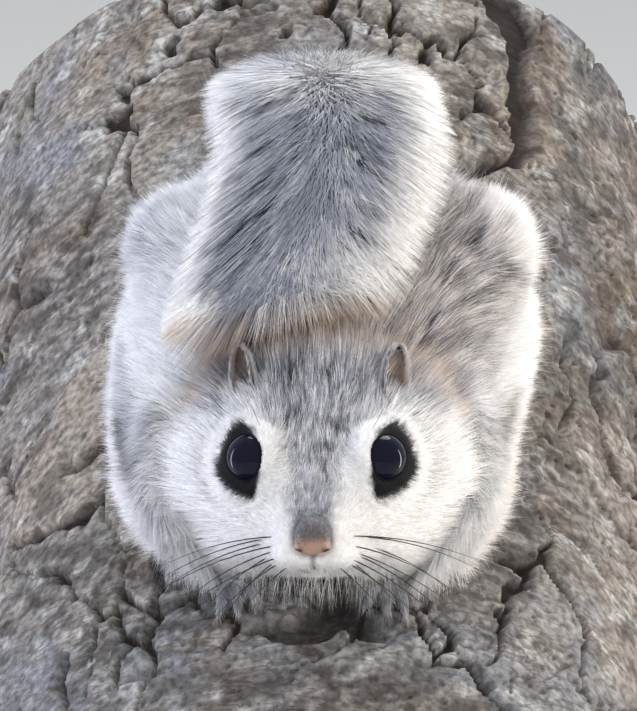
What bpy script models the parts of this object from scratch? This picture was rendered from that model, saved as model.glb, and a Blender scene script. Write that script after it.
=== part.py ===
"""A life-size flying squirrel, crouched head down on a short leaning length of trunk, on a display stand.

Run it with blender --background --python part.py, or from the text editor.
The animal and the trunk are shaped in the trunk's own frame: the origin is on the bark under the animal's
neck, +Y runs up the trunk, +Z stands off the bark and +X is the animal's left. An empty then leans that frame.
Sizes are in metres, given as millimetres times MM.
"""

import math
import random

import bmesh
import bpy
import numpy as np
from mathutils import Matrix, Vector
from mathutils.bvhtree import BVHTree

MM = 0.001

# Driving sizes
TRUNK_LEAN = math.radians(32)
TRUNK_RADIUS = 70 * MM
TRUNK_LOW_END = -56 * MM
TRUNK_HIGH_END = 164 * MM
BARK_RIPPLE = 1.1 * MM
HEAD_LENGTH = 48 * MM
HEAD_WIDTH = 48 * MM
HEAD_PITCH = math.radians(15)
HEAD_YAW = math.radians(2.3)
NOSE_TIP = Vector((-0.4, -25, 19)) * MM
EYE_RADIUS = 4.5 * MM
EAR_LENGTH = 11.5 * MM
TORSO_LENGTH = 74 * MM
TORSO_WIDTH = 66 * MM
TAIL_WIDTH = 43 * MM
BASE_SIZE = Vector((150, 200, 14)) * MM
ROD_RADIUS = 5 * MM
TRUNK_HEIGHT = 174 * MM
TRUNK_SETBACK = -83 * MM
GAP = 0.3 * MM
GROW = 1.25 * GAP

LEFT, RIGHT = 1, -1
SIDE_NAMES = {LEFT: "left", RIGHT: "right"}

# Coat and mount colours
COLOURS = {
    "grey_coat": ((0.47, 0.46, 0.47), 0.85, 0.0),
    "white_coat": ((0.82, 0.80, 0.78), 0.85, 0.0),
    "eye": ((0.01, 0.01, 0.015), 0.08, 0.0),
    "bare_skin": ((0.62, 0.42, 0.38), 0.55, 0.0),
    "ear_skin": ((0.45, 0.36, 0.31), 0.7, 0.0),
    "bark": ((0.33, 0.29, 0.26), 0.9, 0.0),
    "board": ((0.20, 0.12, 0.07), 0.45, 0.0),
    "steel": ((0.55, 0.55, 0.56), 0.3, 1.0),
}


def clear_scene():
    for obj in list(bpy.data.objects):
        bpy.data.objects.remove(obj)


def material(name):
    colour, roughness, metallic = COLOURS[name]
    found = bpy.data.materials.get(name)
    if found:
        return found
    made = bpy.data.materials.new(name)
    made.use_nodes = True
    shader = made.node_tree.nodes["Principled BSDF"]
    shader.inputs["Base Color"].default_value = (*colour, 1)
    shader.inputs["Roughness"].default_value = roughness
    shader.inputs["Metallic"].default_value = metallic
    return made


# Curves through stations

def spread(rows, count):
    """A smooth curve through the rows of numbers, read at evenly spaced places."""
    rows = np.array(rows, float)
    slopes = np.gradient(rows, axis=0)
    place = np.linspace(0, len(rows) - 1, count)
    low = np.minimum(place.astype(int), len(rows) - 2)
    t = (place - low)[:, None]
    return (
        (2 * t**3 - 3 * t**2 + 1) * rows[low]
        + (t**3 - 2 * t**2 + t) * slopes[low]
        + (3 * t**2 - 2 * t**3) * rows[low + 1]
        + (t**3 - t**2) * slopes[low + 1]
    )


def ring(centre, right, up, half_width, above, below, sides, powers=(2.0, 2.0)):
    """A closed section: a superellipse, with its own fullness above and below its widest line."""
    turn = 2 * math.pi * (np.arange(sides) + 0.5) / sides
    power = np.where(np.sin(turn) > 0, *powers)
    across = np.sign(np.cos(turn)) * np.abs(np.cos(turn)) ** (2 / power)
    rise = np.sign(np.sin(turn)) * np.abs(np.sin(turn)) ** (2 / power)
    height = np.where(rise > 0, above, below) * rise
    offset = np.outer(across * half_width, np.array(right)) + np.outer(height, np.array(up))
    return np.array(centre) + offset


def frames_along(points, right=None):
    """A tangent, a sideways and an upward direction at each point of a path."""
    points = np.array(points, float)
    tangents = np.gradient(points, axis=0)
    tangents /= np.linalg.norm(tangents, axis=1)[:, None]
    if right is None:
        helper = np.array((0.0, 0.0, 1.0)) if abs(tangents[0][2]) < 0.8 else np.array((0.0, 1.0, 0.0))
        right = np.cross(tangents[0], helper)
    frames = []
    side = np.array(right, float)
    for tangent in tangents:
        side = side - tangent * side.dot(tangent)
        side /= np.linalg.norm(side)
        frames.append((tangent, side, np.cross(tangent, side)))
    return frames


# Meshes

def mesh_object(name, points, faces, finish="grey_coat", smooth=True):
    mesh = bpy.data.meshes.new(name)
    mesh.from_pydata([tuple(p) for p in points], [], faces)
    work = bmesh.new()
    work.from_mesh(mesh)
    bmesh.ops.recalc_face_normals(work, faces=work.faces)
    work.to_mesh(mesh)
    work.free()
    if smooth:
        mesh.shade_smooth()
    obj = bpy.data.objects.new(name, mesh)
    obj.data.materials.append(material(finish))
    bpy.context.scene.collection.objects.link(obj)
    return obj


def loft(name, rings, finish="grey_coat"):
    """A closed body through a row of sections, each end closed on its middle point."""
    sides = len(rings[0])
    points = [p for section in rings for p in section]
    faces = []
    for row in range(len(rings) - 1):
        for i in range(sides):
            j = (i + 1) % sides
            faces.append((row * sides + i, row * sides + j, (row + 1) * sides + j, (row + 1) * sides + i))
    for row, section in ((0, rings[0]), (len(rings) - 1, rings[-1])):
        points.append(np.mean(section, axis=0))
        tip = len(points) - 1
        for i in range(sides):
            faces.append((row * sides + i, row * sides + (i + 1) % sides, tip))
    return mesh_object(name, points, faces, finish)


def tube(name, path, half_widths, half_depths, sides=10, finish="grey_coat", right=None):
    """A limb: an oval section carried along a path."""
    rings = [
        ring(centre, side, up, wide, deep, deep, sides)
        for centre, (_, side, up), wide, deep in zip(path, frames_along(path, right), half_widths, half_depths)
    ]
    return loft(name, rings, finish)


def blob(name, centre, radii, turn=None, segments=16, rings=10, finish="grey_coat"):
    """An ellipsoid."""
    mesh = bpy.data.meshes.new(name)
    work = bmesh.new()
    bmesh.ops.create_uvsphere(work, u_segments=segments, v_segments=rings, radius=1)
    shape = Matrix.Translation(centre) @ (turn or Matrix.Identity(3)).to_4x4() @ Matrix.Diagonal((*radii, 1))
    bmesh.ops.transform(work, matrix=shape, verts=work.verts)
    work.to_mesh(mesh)
    work.free()
    mesh.shade_smooth()
    obj = bpy.data.objects.new(name, mesh)
    obj.data.materials.append(material(finish))
    bpy.context.scene.collection.objects.link(obj)
    return obj


def remove(*objects):
    for obj in objects:
        bpy.data.objects.remove(obj)


def apply_modifiers(obj):
    graph = bpy.context.evaluated_depsgraph_get()
    mesh = bpy.data.meshes.new_from_object(obj.evaluated_get(graph))
    obj.modifiers.clear()
    obj.data = mesh


def grown(obj, by=GROW):
    """A copy pushed out along its normals, which leaves the gap that touching pieces keep."""
    copy = bpy.data.objects.new(obj.name + "_room", obj.data.copy())
    bpy.context.scene.collection.objects.link(copy)
    push = copy.modifiers.new("push", "DISPLACE")
    push.mid_level = 0
    push.strength = by
    apply_modifiers(copy)
    return copy


def boolean(obj, operation, cutter, solver="EXACT"):
    step = obj.modifiers.new(operation, "BOOLEAN")
    step.operation = operation
    step.solver = solver
    step.object = cutter
    apply_modifiers(obj)


def keep_largest(obj):
    """Drops every loose scrap, so that the node is one closed surface."""
    work = bmesh.new()
    work.from_mesh(obj.data)
    work.verts.ensure_lookup_table()
    unseen = set(work.verts)
    shells = []
    while unseen:
        start = unseen.pop()
        shell, queue = {start}, [start]
        while queue:
            for edge in queue.pop().link_edges:
                for vert in edge.verts:
                    if vert in unseen:
                        unseen.discard(vert)
                        shell.add(vert)
                        queue.append(vert)
        shells.append(shell)
    shells.sort(key=len)
    loose = [vert for shell in shells[:-1] for vert in shell]
    bmesh.ops.delete(work, geom=loose, context="VERTS")
    work.to_mesh(obj.data)
    work.free()


def fit_against(obj, *neighbours):
    """Cuts the body back from its neighbours, a gap short of each."""
    for neighbour in neighbours:
        cutter = grown(neighbour)
        boolean(obj, "DIFFERENCE", cutter)
        remove(cutter)
    keep_largest(obj)


def join_pieces(obj, pieces, solver="EXACT"):
    """One union of the body with all its small pieces."""
    group = bpy.data.collections.new(obj.name + "_pieces")
    bpy.context.scene.collection.children.link(group)
    for piece in pieces:
        bpy.context.scene.collection.objects.unlink(piece)
        group.objects.link(piece)
    step = obj.modifiers.new("union", "BOOLEAN")
    step.operation = "UNION"
    step.solver = solver
    step.operand_type = "COLLECTION"
    step.collection = group
    apply_modifiers(obj)
    remove(*pieces)
    bpy.data.collections.remove(group)
    keep_largest(obj)


# The trunk

def trunk_radius(turn, along):
    """The bark's distance from the trunk's middle; turn is 0 on the upper side, under the animal."""
    swell = 0.6 * math.sin(3 * turn + 40 * along) + 0.4 * math.sin(7 * turn - 65 * along + 1.3)
    calm = 0.25 + 0.75 * min(1.0, abs(turn) / math.radians(55))
    return TRUNK_RADIUS + BARK_RIPPLE * swell * calm


def bark_height(x):
    """How high the bark stands at a distance from the trunk's top line."""
    return math.sqrt(TRUNK_RADIUS**2 - x**2) - TRUNK_RADIUS


def make_trunk():
    sides, rows = 40, 14
    rings = []
    for along in np.linspace(TRUNK_LOW_END, TRUNK_HIGH_END, rows):
        section = []
        for i in range(sides):
            turn = 2 * math.pi * i / sides
            turn = turn - 2 * math.pi if turn > math.pi else turn
            radius = trunk_radius(turn, along)
            section.append((radius * math.sin(turn), along, radius * math.cos(turn) - TRUNK_RADIUS))
        rings.append(np.array(section))
    return loft("perch_trunk", rings, "bark")


# The head

def from_head(side, back, up):
    """A point of the head, from its distance to the left, behind the nose tip and above the muzzle's axis."""
    lean = Vector((math.sin(HEAD_YAW), math.cos(HEAD_PITCH), -math.sin(HEAD_PITCH)))
    rise = Vector((0, math.sin(HEAD_PITCH), math.cos(HEAD_PITCH)))
    return NOSE_TIP + Vector((side, 0, 0)) * MM + lean * back * MM + rise * up * MM


HEAD_TURN = Matrix.Rotation(-HEAD_PITCH, 3, "X")

# Each row: distance behind the nose tip, half width, height of the widest line, crown, jaw
HEAD_STATIONS = (
    (0.9, 3.0, -2.0, 0.4, -4.6),
    (2.6, 5.4, -2.4, 2.4, -7.0),
    (5.2, 8.6, -3.2, 4.6, -10.6),
    (8.2, 12.4, -4.2, 6.8, -13.6),
    (11.5, 16.0, -4.8, 9.2, -15.6),
    (15.2, 19.0, -4.8, 11.8, -16.8),
    (19.0, 21.4, -4.2, 14.0, -17.2),
    (23.0, 23.2, -3.2, 16.0, -17.0),
    (27.5, 24.0, -2.2, 17.4, -15.8),
    (32.5, 23.6, -1.2, 18.4, -13.6),
    (37.5, 21.4, -0.4, 18.2, -11.0),
    (42.5, 17.0, 0.6, 15.6, -8.0),
    (46.5, 9.5, 1.6, 9.6, -4.0),
)
HEAD_FULLNESS = (2.15, 2.7)
HEAD_TABLE_SIZE = 48 * MM
EYE_SIDE, EYE_BACK, EYE_UP = 10.8, 15.8, 7.6
EAR_SIDE, EAR_BACK, EAR_UP = 12.3, 27.0, 13.2


def head_form():
    rings = []
    scale = HEAD_WIDTH / HEAD_TABLE_SIZE
    for back, half, middle, crown, jaw in spread(HEAD_STATIONS, 24):
        centre = from_head(0, back * HEAD_LENGTH / HEAD_TABLE_SIZE, middle)
        rings.append(
            ring(
                centre,
                (1, 0, 0),
                HEAD_TURN @ Vector((0, 0, 1)),
                half * MM * scale,
                (crown - middle) * MM,
                (middle - jaw) * MM,
                24,
                HEAD_FULLNESS,
            )
        )
    return loft("head", rings, "white_coat")


def make_eye(side):
    turn = Matrix.Rotation(math.radians(90 * side), 3, "Y")
    return blob(
        f"eye_{SIDE_NAMES[side]}",
        from_head(side * EYE_SIDE, EYE_BACK, EYE_UP),
        (EYE_RADIUS,) * 3,
        turn,
        14,
        9,
        "eye",
    )


# Each row of the nose pad: distance behind its tip, half width, height above and below its middle
NOSE_STATIONS = (
    (-0.8, 1.9, 2.5, 1.9),
    (-0.3, 2.6, 3.3, 2.6),
    (0.8, 3.05, 3.8, 3.1),
    (2.2, 3.0, 3.8, 3.0),
    (3.4, 2.4, 3.1, 2.4),
)
NOSE_MIDDLE = -0.4
NOSE_FULLNESS = (2.6, 3.2)


def make_nose():
    """The squarish bare pad, with a nostril sunk in each side of it."""
    rings = []
    for back, half, above, below in spread(NOSE_STATIONS, 9):
        centre = from_head(0, back, NOSE_MIDDLE)
        up = HEAD_TURN @ Vector((0, 0, 1))
        rings.append(ring(centre, (1, 0, 0), up, half * MM, above * MM, below * MM, 16, NOSE_FULLNESS))
    pad = loft("nose", rings, "bare_skin")
    for side in (LEFT, RIGHT):
        nostril = blob("nostril", from_head(side * 2.2, -0.5, -1.9), Vector((0.75, 1.3, 0.6)) * MM, HEAD_TURN, 8, 6)
        boolean(pad, "DIFFERENCE", nostril)
        remove(nostril)
    return pad


# The lids' opening: the share of the eye's half turn that they leave bare, along and across the slit
LID_LONG, LID_SHORT = math.radians(84), math.radians(58)
LID_BACK = math.radians(150)
LID_THICK = 0.9 * MM
LID_REACH = EYE_RADIUS + 1.3 * MM


def eye_axes(side):
    """The way that the eye looks, and the directions along and across its slit."""
    look = (HEAD_TURN @ Vector((side * 0.62, -0.64, 0.45))).normalized()
    back = HEAD_TURN @ Vector((side * 0.25, 0.72, 0.73))
    along = (back - look * back.dot(look)).normalized()
    return look, along, look.cross(along)


def make_lid(side, around=20, rows=6):
    """A cap over the eyeball with an almond opening; the eyeball is cut out of it later."""
    look, along, across = eye_axes(side)
    centre = from_head(side * EYE_SIDE, EYE_BACK, EYE_UP)
    rings = []
    for radius, share in [(LID_REACH - LID_THICK, 0)] + [(LID_REACH, row / (rows - 1)) for row in range(rows)]:
        section = []
        for i in range(around):
            turn = 2 * math.pi * i / around
            opening = LID_SHORT + (LID_LONG - LID_SHORT) * abs(math.cos(turn)) ** 3
            tilt = opening + (LID_BACK - opening) * share
            way = along * math.cos(turn) + across * math.sin(turn)
            section.append(centre + (look * math.cos(tilt) + way * math.sin(tilt)) * radius)
        rings.append(np.array(section))
    return loft("lid", rings, "white_coat")


# The mouth, as distances to the side, behind the nose tip and above the muzzle's axis
MOUTH_LINE = ((8.0, 10.0, -9.0), (5.6, 6.8, -8.0), (2.6, 3.6, -6.6), (0.0, 2.2, -5.8))
PHILTRUM = ((0.0, 0.2, -3.6), (0.0, 1.2, -5.0), (0.0, 2.2, -6.0))
GROOVE = 0.42 * MM


def on_surface(obj, points):
    """The points moved to the body's surface."""
    tree = BVHTree.FromObject(obj, bpy.context.evaluated_depsgraph_get())
    return [tree.find_nearest(Vector(p))[0] for p in points]


def finish_face(head):
    """Whisker pads, chin and lids, and the line of the mouth with the cleft above it."""
    pieces = [
        blob("whisker_pad", from_head(side * 3.9, 4.6, -3.9), Vector((3.9, 3.8, 3.4)) * MM, HEAD_TURN, 14, 8)
        for side in (LEFT, RIGHT)
    ]
    pieces.append(blob("chin", from_head(0, 5.6, -8.6), Vector((3.6, 3.6, 2.6)) * MM, HEAD_TURN, 12, 8))
    pieces += [make_lid(side) for side in (LEFT, RIGHT)]
    join_pieces(head, pieces)
    line = [from_head(*p) for p in MOUTH_LINE]
    line += [from_head(-p[0], p[1], p[2]) for p in reversed(MOUTH_LINE[:-1])]
    for name, course in (("mouth", line), ("cleft", [from_head(*p) for p in PHILTRUM])):
        path = on_surface(head, spread([tuple(p) for p in course], 4 * len(course)))
        groove = tube(name, [np.array(p) for p in path], [GROOVE] * len(path), [GROOVE] * len(path), 6)
        boolean(head, "DIFFERENCE", groove)
        remove(groove)


# Ears

EAR_SWEEP = math.radians(54)
EAR_SPLAY = math.radians(14)
EAR_TWIST = math.radians(28)
EAR_MIDDLE = 0.42
EAR_HALF = Vector((3.0, 2.6, 6.2)) * MM
# The cup's hollow, and the wider cut that opens its front, in the ear's own frame
HOLLOW_SHIFT, HOLLOW_HALF = Vector((0, -1.35, 0.5)) * MM, Vector((2.35, 2.75, 5.3)) * MM
MOUTH_SHIFT, MOUTH_HALF = Vector((0, -3.4, 0.9)) * MM, Vector((4.8, 2.3, 7.2)) * MM


def ear_turn(side):
    """The ear's own frame: +Z along its length, -Y out of its cup."""
    sweep = Matrix.Rotation(-EAR_SWEEP, 3, "X")
    splay = Matrix.Rotation(side * EAR_SPLAY, 3, "Y")
    twist = Matrix.Rotation(side * EAR_TWIST, 3, "Z")
    return splay @ sweep @ twist


def make_ear(side, head):
    """A thin leaf-shaped cup: one ellipsoid hollowed by another that is set forward."""
    turn = ear_turn(side)
    root = from_head(side * EAR_SIDE, EAR_BACK, EAR_UP)
    middle = root + turn @ Vector((0, 0, EAR_LENGTH * EAR_MIDDLE))
    shell = blob("ear_" + SIDE_NAMES[side], middle, EAR_HALF, turn, 16, 10, "ear_skin")
    hollow = blob("ear_hollow", middle + turn @ HOLLOW_SHIFT, HOLLOW_HALF, turn, 14, 10)
    mouth = blob("ear_mouth", middle + turn @ MOUTH_SHIFT, MOUTH_HALF, turn, 14, 10)
    boolean(shell, "DIFFERENCE", hollow)
    boolean(shell, "DIFFERENCE", mouth)
    remove(hollow, mouth)
    fit_against(shell, head)
    return shell


# The trunk of the body

# Each row: distance up the bark, sideways shift, half width, back, belly
TORSO_STATIONS = (
    (1.0, -0.6, 15.0, 14.0, -4.0),
    (7.0, -0.5, 23.0, 22.0, -7.0),
    (16.0, -0.3, 27.5, 28.0, -9.0),
    (28.0, 0.6, 30.5, 32.5, -10.0),
    (42.0, 1.8, 33.0, 35.5, -11.0),
    (55.0, 2.4, 33.0, 35.5, -11.0),
    (67.0, 2.2, 30.0, 34.0, -10.0),
    (76.0, 2.0, 23.5, 30.0, -8.0),
    (82.0, 1.8, 12.5, 22.0, -5.0),
)
TORSO_MIDDLE = 9.0
BODY_FULLNESS = (2.15, 2.15)
TORSO_TABLE_LENGTH = 80 * MM
TORSO_TABLE_WIDTH = 66 * MM


def torso_form():
    rings = []
    for along, shift, half, back, belly in spread(TORSO_STATIONS, 15):
        rings.append(
            ring(
                (shift * MM, along * MM * TORSO_LENGTH / TORSO_TABLE_LENGTH, TORSO_MIDDLE * MM),
                (1, 0, 0),
                (0, 0, 1),
                half * MM * TORSO_WIDTH / TORSO_TABLE_WIDTH,
                (back - TORSO_MIDDLE) * MM,
                (TORSO_MIDDLE - belly) * MM,
                24,
                BODY_FULLNESS,
            )
        )
    return loft("torso", rings)


# Limbs and gliding membrane

# Limbs run through places given as distance out, up the bark and above it, each with its half width
FORELEG_PATH = ((16, 20, 16), (23.8, 13, 12), (26.6, 5, 7.5), (22.2, -5, 4.5), (15.5, -12, 2.8))
FORELEG_WIDTHS = ((6.5,), (7.0,), (6.2,), (5.2,), (4.2,))
FORELEG_FLATNESS = 0.95
# The thigh and shank folded along the flank; the rump is swung a little to the left
HINDLEG_PATH = ((16, 36, 22), (19.6, 43, 20), (23.7, 52, 16.5), (25.7, 61, 11.5), (25.2, 68, 5), (24, 73, 0))
HINDLEG_WIDTHS = ((4.5,), (10.5,), (12.2,), (10.6,), (7.0,), (4.4,))
HINDLEG_SHIFT = 2.9 * MM


def foreleg_form(side):
    path = spread(FORELEG_PATH, 9) * MM
    path[:, 0] *= side
    widths = spread(FORELEG_WIDTHS, 9)[:, 0] * MM
    return tube(f"foreleg_{SIDE_NAMES[side]}", path, widths, widths * FORELEG_FLATNESS, 12, "white_coat")


def hindleg_form(side):
    path = spread(HINDLEG_PATH, 12) * MM
    path[:, 0] = path[:, 0] * side + HINDLEG_SHIFT
    widths = spread(HINDLEG_WIDTHS, 12)[:, 0] * MM
    return tube(f"hindleg_{SIDE_NAMES[side]}", path, widths, widths, 14)


# Each row: distance up the bark, distance out, height above the bark there, half thickness, half height
MEMBRANE_STATIONS = (
    (-11.0, 19.8, 2.0, 2.0, 2.6),
    (-6.0, 22.6, 4.0, 3.2, 5.2),
    (2.0, 26.0, 6.0, 4.0, 8.0),
    (12.0, 28.3, 8.0, 4.6, 10.5),
    (24.0, 29.2, 9.5, 4.9, 12.0),
    (37.0, 29.9, 10.5, 5.1, 13.0),
    (49.0, 30.7, 10.0, 5.0, 12.5),
    (60.0, 31.2, 8.5, 4.6, 11.0),
    (68.0, 27.2, 6.0, 3.8, 8.0),
    (74.0, 24.0, 3.0, 2.4, 4.6),
)
MEMBRANE_LEAN = math.radians(20)
# How far both membranes are swung to the left, at distances up the bark
MEMBRANE_BOW = ((-11, -6, 2, 12, 24, 37, 49, 60), (1.2, 0.8, 0.2, -0.3, -0.6, 0.6, 1.8, 2.6))


def membrane_form(side):
    rings = []
    up = Vector((-side * math.sin(MEMBRANE_LEAN), 0, math.cos(MEMBRANE_LEAN)))
    across = Vector((math.cos(MEMBRANE_LEAN), 0, side * math.sin(MEMBRANE_LEAN)))
    for along, out, height, half, tall in spread(MEMBRANE_STATIONS, 18):
        bow = np.interp(along, *MEMBRANE_BOW)
        centre = Vector((side * out * MM + bow * MM, along * MM, bark_height(out * MM) + height * MM))
        rings.append(ring(centre, across, up, half * MM, tall * MM, tall * MM, 12))
    return loft(f"gliding_membrane_{SIDE_NAMES[side]}", rings)


# Feet

def digit(name, root, heading, length, radius, claw):
    """A toe that arches over the bark and ends in a hooked claw."""
    root, heading = Vector(root), Vector(heading).normalized()
    steps = ((0, 0.0), (0.35, 0.5), (0.75, 0.25), (1.0, -0.25))
    path = [root + heading * length * share + Vector((0, 0, rise * radius * 2)) for share, rise in steps]
    path.append(path[-1] + heading * claw * 0.55 + Vector((0, 0, -0.2 * claw)))
    path.append(path[-1] + heading * claw * 0.40 + Vector((0, 0, -0.55 * claw)))
    thick = [radius * k for k in (0.9, 1.0, 0.95, 0.8, 0.42, 0.14)]
    return tube(name, [np.array(p) for p in path], thick, thick, 6, "bare_skin")


# Each foot: distance out to the wrist, sideways shift, distance up the bark, heading, half sizes of the palm,
# number of toes, their length, and the angle that they fan over
FOREPAW = (13.5, -0.5, -12.0, (-0.30, -1, 0), (3.6, 3.0, 1.9), 4, 4.6, math.radians(66))
HINDFOOT = (24.0, 1.6, 71.0, (0.15, 1, 0), (7.5, 3.6, 2.2), 5, 6.2, math.radians(60))
TOE_RADIUS = 1.05 * MM
TOE_HEIGHT = 1.5 * MM
CLAW_LENGTH = 2.6 * MM


def make_paw(name, side, foot):
    """A palm with its toes fanned about the heading, all one body."""
    out, shift, along, heading, size, toes, toe_length, fan = foot
    heading = Vector((side * heading[0], heading[1], 0)).normalized()
    size = Vector(size) * MM
    turn = Matrix.Rotation(math.atan2(heading.y, heading.x), 3, "Z")
    palm_centre = Vector((side * out + shift, along, 0)) * MM + heading * size.x * 0.8
    palm_centre.z = bark_height(palm_centre.x) + size.z * 0.75
    palm = blob(name, palm_centre, size, turn, 12, 8, "bare_skin")
    pieces = []
    for i in range(toes):
        share = i / (toes - 1) - 0.5
        way = Matrix.Rotation(share * fan, 3, "Z") @ heading
        side_step = Matrix.Rotation(math.pi / 2, 3, "Z") @ heading
        root = palm_centre + way * size.x * 0.45 + side_step * share * size.y * 1.1
        reach = toe_length * MM * (1.0 - 0.7 * abs(share) * (0.8 if share > 0 else 1.0))
        root.z = bark_height(root.x) + TOE_HEIGHT
        drop = bark_height((root + way * reach).x) - bark_height(root.x)
        slope = Vector((way.x, way.y, drop / reach))
        pieces.append(digit(f"{name}_toe", root, slope, reach, TOE_RADIUS, CLAW_LENGTH))
    join_pieces(palm, pieces)
    return palm


# The tail

# Each row: sideways shift, distance up the bark, height, half width, half thickness, out to the tips of the coat
TAIL_STATIONS = (
    (1.8, 69.5, 11.5, 7.0, 4.8),
    (1.6, 77.0, 16.0, 12.0, 5.0),
    (1.4, 79.5, 26.0, 20.0, 4.9),
    (1.3, 75.0, 34.8, 21.8, 4.8),
    (2.0, 65.5, 40.0, 21.6, 4.8),
    (2.9, 54.0, 41.8, 21.2, 4.8),
    (1.6, 42.0, 41.0, 20.8, 4.6),
    (-1.4, 31.0, 38.6, 20.4, 4.2),
    (-4.6, 20.5, 36.0, 20.0, 3.4),
    (-6.0, 12.0, 34.4, 18.6, 1.6),
)
TAIL_DROOP = 3.0 * MM
# Where the tail turns over the rump: there its edges don't droop, and the hair at them stands straight out
CREST_SHARE = 0.33
CREST_REACH = 0.16
TAIL_SKEW = 0.26
TAIL_SPLIT = 0.255
CORE_WIDTH = 0.48
CORE_DEPTH = 0.42
CORE_END = 0.84
LOCK_WIDTH = 3.3 * MM
LOCK_THICK = 0.62 * MM


def crest_calm(share):
    """Nothing at the crest, and one from a little way off."""
    return np.interp(abs(share - CREST_SHARE), (0, CREST_REACH), (0, 1))


class TailCourse:
    """The tail's lie: places are read by share of its length, share of its half width and share of its depth."""

    def __init__(self, count=61):
        rows = spread(TAIL_STATIONS, count) * MM
        self.shares = np.linspace(0, 1, count)
        self.path, self.half, self.deep = rows[:, :3], rows[:, 3], rows[:, 4]
        self.tangents = np.array([tangent for tangent, _, _ in frames_along(self.path, (-1, 0, 0))])
        skew = TAIL_SKEW * np.clip((self.shares - 0.4) / 0.6, 0, None)
        self.sides = np.array((-1.0, 0, 0)) + self.tangents * skew[:, None]
        ups = np.cross(self.sides, self.tangents)
        self.ups = ups / np.linalg.norm(ups, axis=1)[:, None]

    def read(self, values, share):
        if values.ndim == 1:
            return np.interp(share, self.shares, values)
        return np.array([np.interp(share, self.shares, values[:, k]) for k in range(3)])

    def place(self, share, across, rise):
        half = self.read(self.half, share)
        droop = TAIL_DROOP * half / (TAIL_WIDTH / 2) * across**2 * crest_calm(share)
        return (
            self.read(self.path, share)
            + self.read(self.sides, share) * across * half
            + self.read(self.ups, share) * (rise * self.read(self.deep, share) - droop)
        )

    def ring(self, share, width, depth, sides):
        turn = 2 * math.pi * (np.arange(sides) + 0.5) / sides
        return np.array([self.place(share, width * math.cos(t), depth * math.sin(t)) for t in turn])


def tail_core(course, name, start, end, rows, sides=12):
    """The solid middle that the locks grow from, round at its ends."""
    rings = []
    for share in np.linspace(start, end, rows):
        along = (share - start) / (end - start)
        taper = math.sqrt(max(0.12, 1 - max(0, (along - 0.72) / 0.28) ** 2)) if end < 1 else 1
        rings.append(course.ring(share, CORE_WIDTH * taper, CORE_DEPTH * taper, sides))
    return loft(name, rings)


def lock(course, start, end, arch, width, thick):
    """A flat tapered lock from one place of the tail to another; arch lifts its middle off the straight way."""
    steps = ((0.0, 0.7), (0.3, 1.0), (0.62, 0.85), (0.86, 0.5))
    start, end = np.array(start), np.array(end)
    spots = []
    for along in [step[0] for step in steps] + [1.0]:
        share, across, rise = start + (end - start) * along
        spots.append(course.place(share, across, rise + arch * 4 * along * (1 - along)))
    spots = np.array(spots)
    tangents = np.gradient(spots, axis=0)
    points = []
    for k, (along, fat) in enumerate(steps):
        share = start[0] + (end[0] - start[0]) * along
        flat = np.cross(tangents[k], course.read(course.ups, share))
        flat *= width * fat / np.linalg.norm(flat)
        lift = np.cross(flat, tangents[k])
        lift *= thick * (1 - 0.4 * along) / np.linalg.norm(lift)
        points += [spots[k] + flat, spots[k] + lift, spots[k] - flat, spots[k] - lift]
    points.append(spots[-1])
    faces = [(0, 1, 2, 3)]
    for k in range(len(steps) - 1):
        for i in range(4):
            j = (i + 1) % 4
            faces.append((4 * k + i, 4 * k + j, 4 * k + 4 + j, 4 * k + 4 + i))
    last = 4 * (len(steps) - 1)
    faces += [(last + i, last + (i + 1) % 4, last + 4) for i in range(4)]
    return mesh_object("lock", points, faces)


def side_locks(course, dice, first, last, count, reach):
    """A row of locks along each edge, each sweeping outward and on towards the tip."""
    locks = []
    for side in (LEFT, RIGHT):
        for i in range(count):
            share = first + (last - first) * (i + (0.5 if side == LEFT else 0.2)) / count
            sweep = 0.25 + 0.75 * crest_calm(share)
            far = min(1.0, share + reach * sweep * dice.uniform(0.9, 1.1))
            root = (share, side * 0.2, 0)
            tip = (far, side * dice.uniform(0.96, 1.02), dice.uniform(-0.3, 0.1))
            locks.append(lock(course, root, tip, 0.25, LOCK_WIDTH, LOCK_THICK))
    return locks


def top_locks(course, dice, first, last, count, reach):
    """Locks that lie back over the upper side, parted along the middle."""
    locks = []
    for side in (LEFT, RIGHT):
        for i in range(count):
            share = first + (last - first) * (i + (0.1 if side == LEFT else 0.6)) / count
            root = (share, side * 0.03, 0.1)
            tip = (min(1.0, share + reach), side * dice.uniform(0.56, 0.72), 0.95)
            locks.append(lock(course, root, tip, 0.45, LOCK_WIDTH * 1.1, LOCK_THICK))
    return locks


def tip_locks(course, dice, count):
    """The fringe that closes the tail's end."""
    locks = []
    for i in range(count):
        across = 2 * i / (count - 1) - 1
        root = (CORE_END - 0.16, across * 0.3, 0.1)
        tip = (dice.uniform(0.97, 1.0), across * 0.86, dice.uniform(-0.3, 0.6))
        locks.append(lock(course, root, tip, 0.5, LOCK_WIDTH * 1.1, LOCK_THICK))
    return locks


def make_tail(neighbours):
    """The root, which rises behind the rump, and the brush that lies forward over the back."""
    course = TailCourse()
    dice = random.Random(7)
    root = tail_core(course, "tail_root", 0, TAIL_SPLIT, 7)
    join_pieces(root, side_locks(course, dice, 0.02, TAIL_SPLIT - 0.12, 3, 0.10))
    brush = tail_core(course, "tail_brush", TAIL_SPLIT + 0.003, CORE_END, 12)
    pieces = side_locks(course, dice, TAIL_SPLIT + 0.02, 0.84, 11, 0.13)
    pieces += top_locks(course, dice, TAIL_SPLIT + 0.01, 0.82, 8, 0.12)
    pieces += tip_locks(course, dice, 7)
    join_pieces(brush, pieces)
    fit_against(brush, *neighbours)
    fit_against(root, *neighbours)
    return [root, brush]


# The stand

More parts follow.
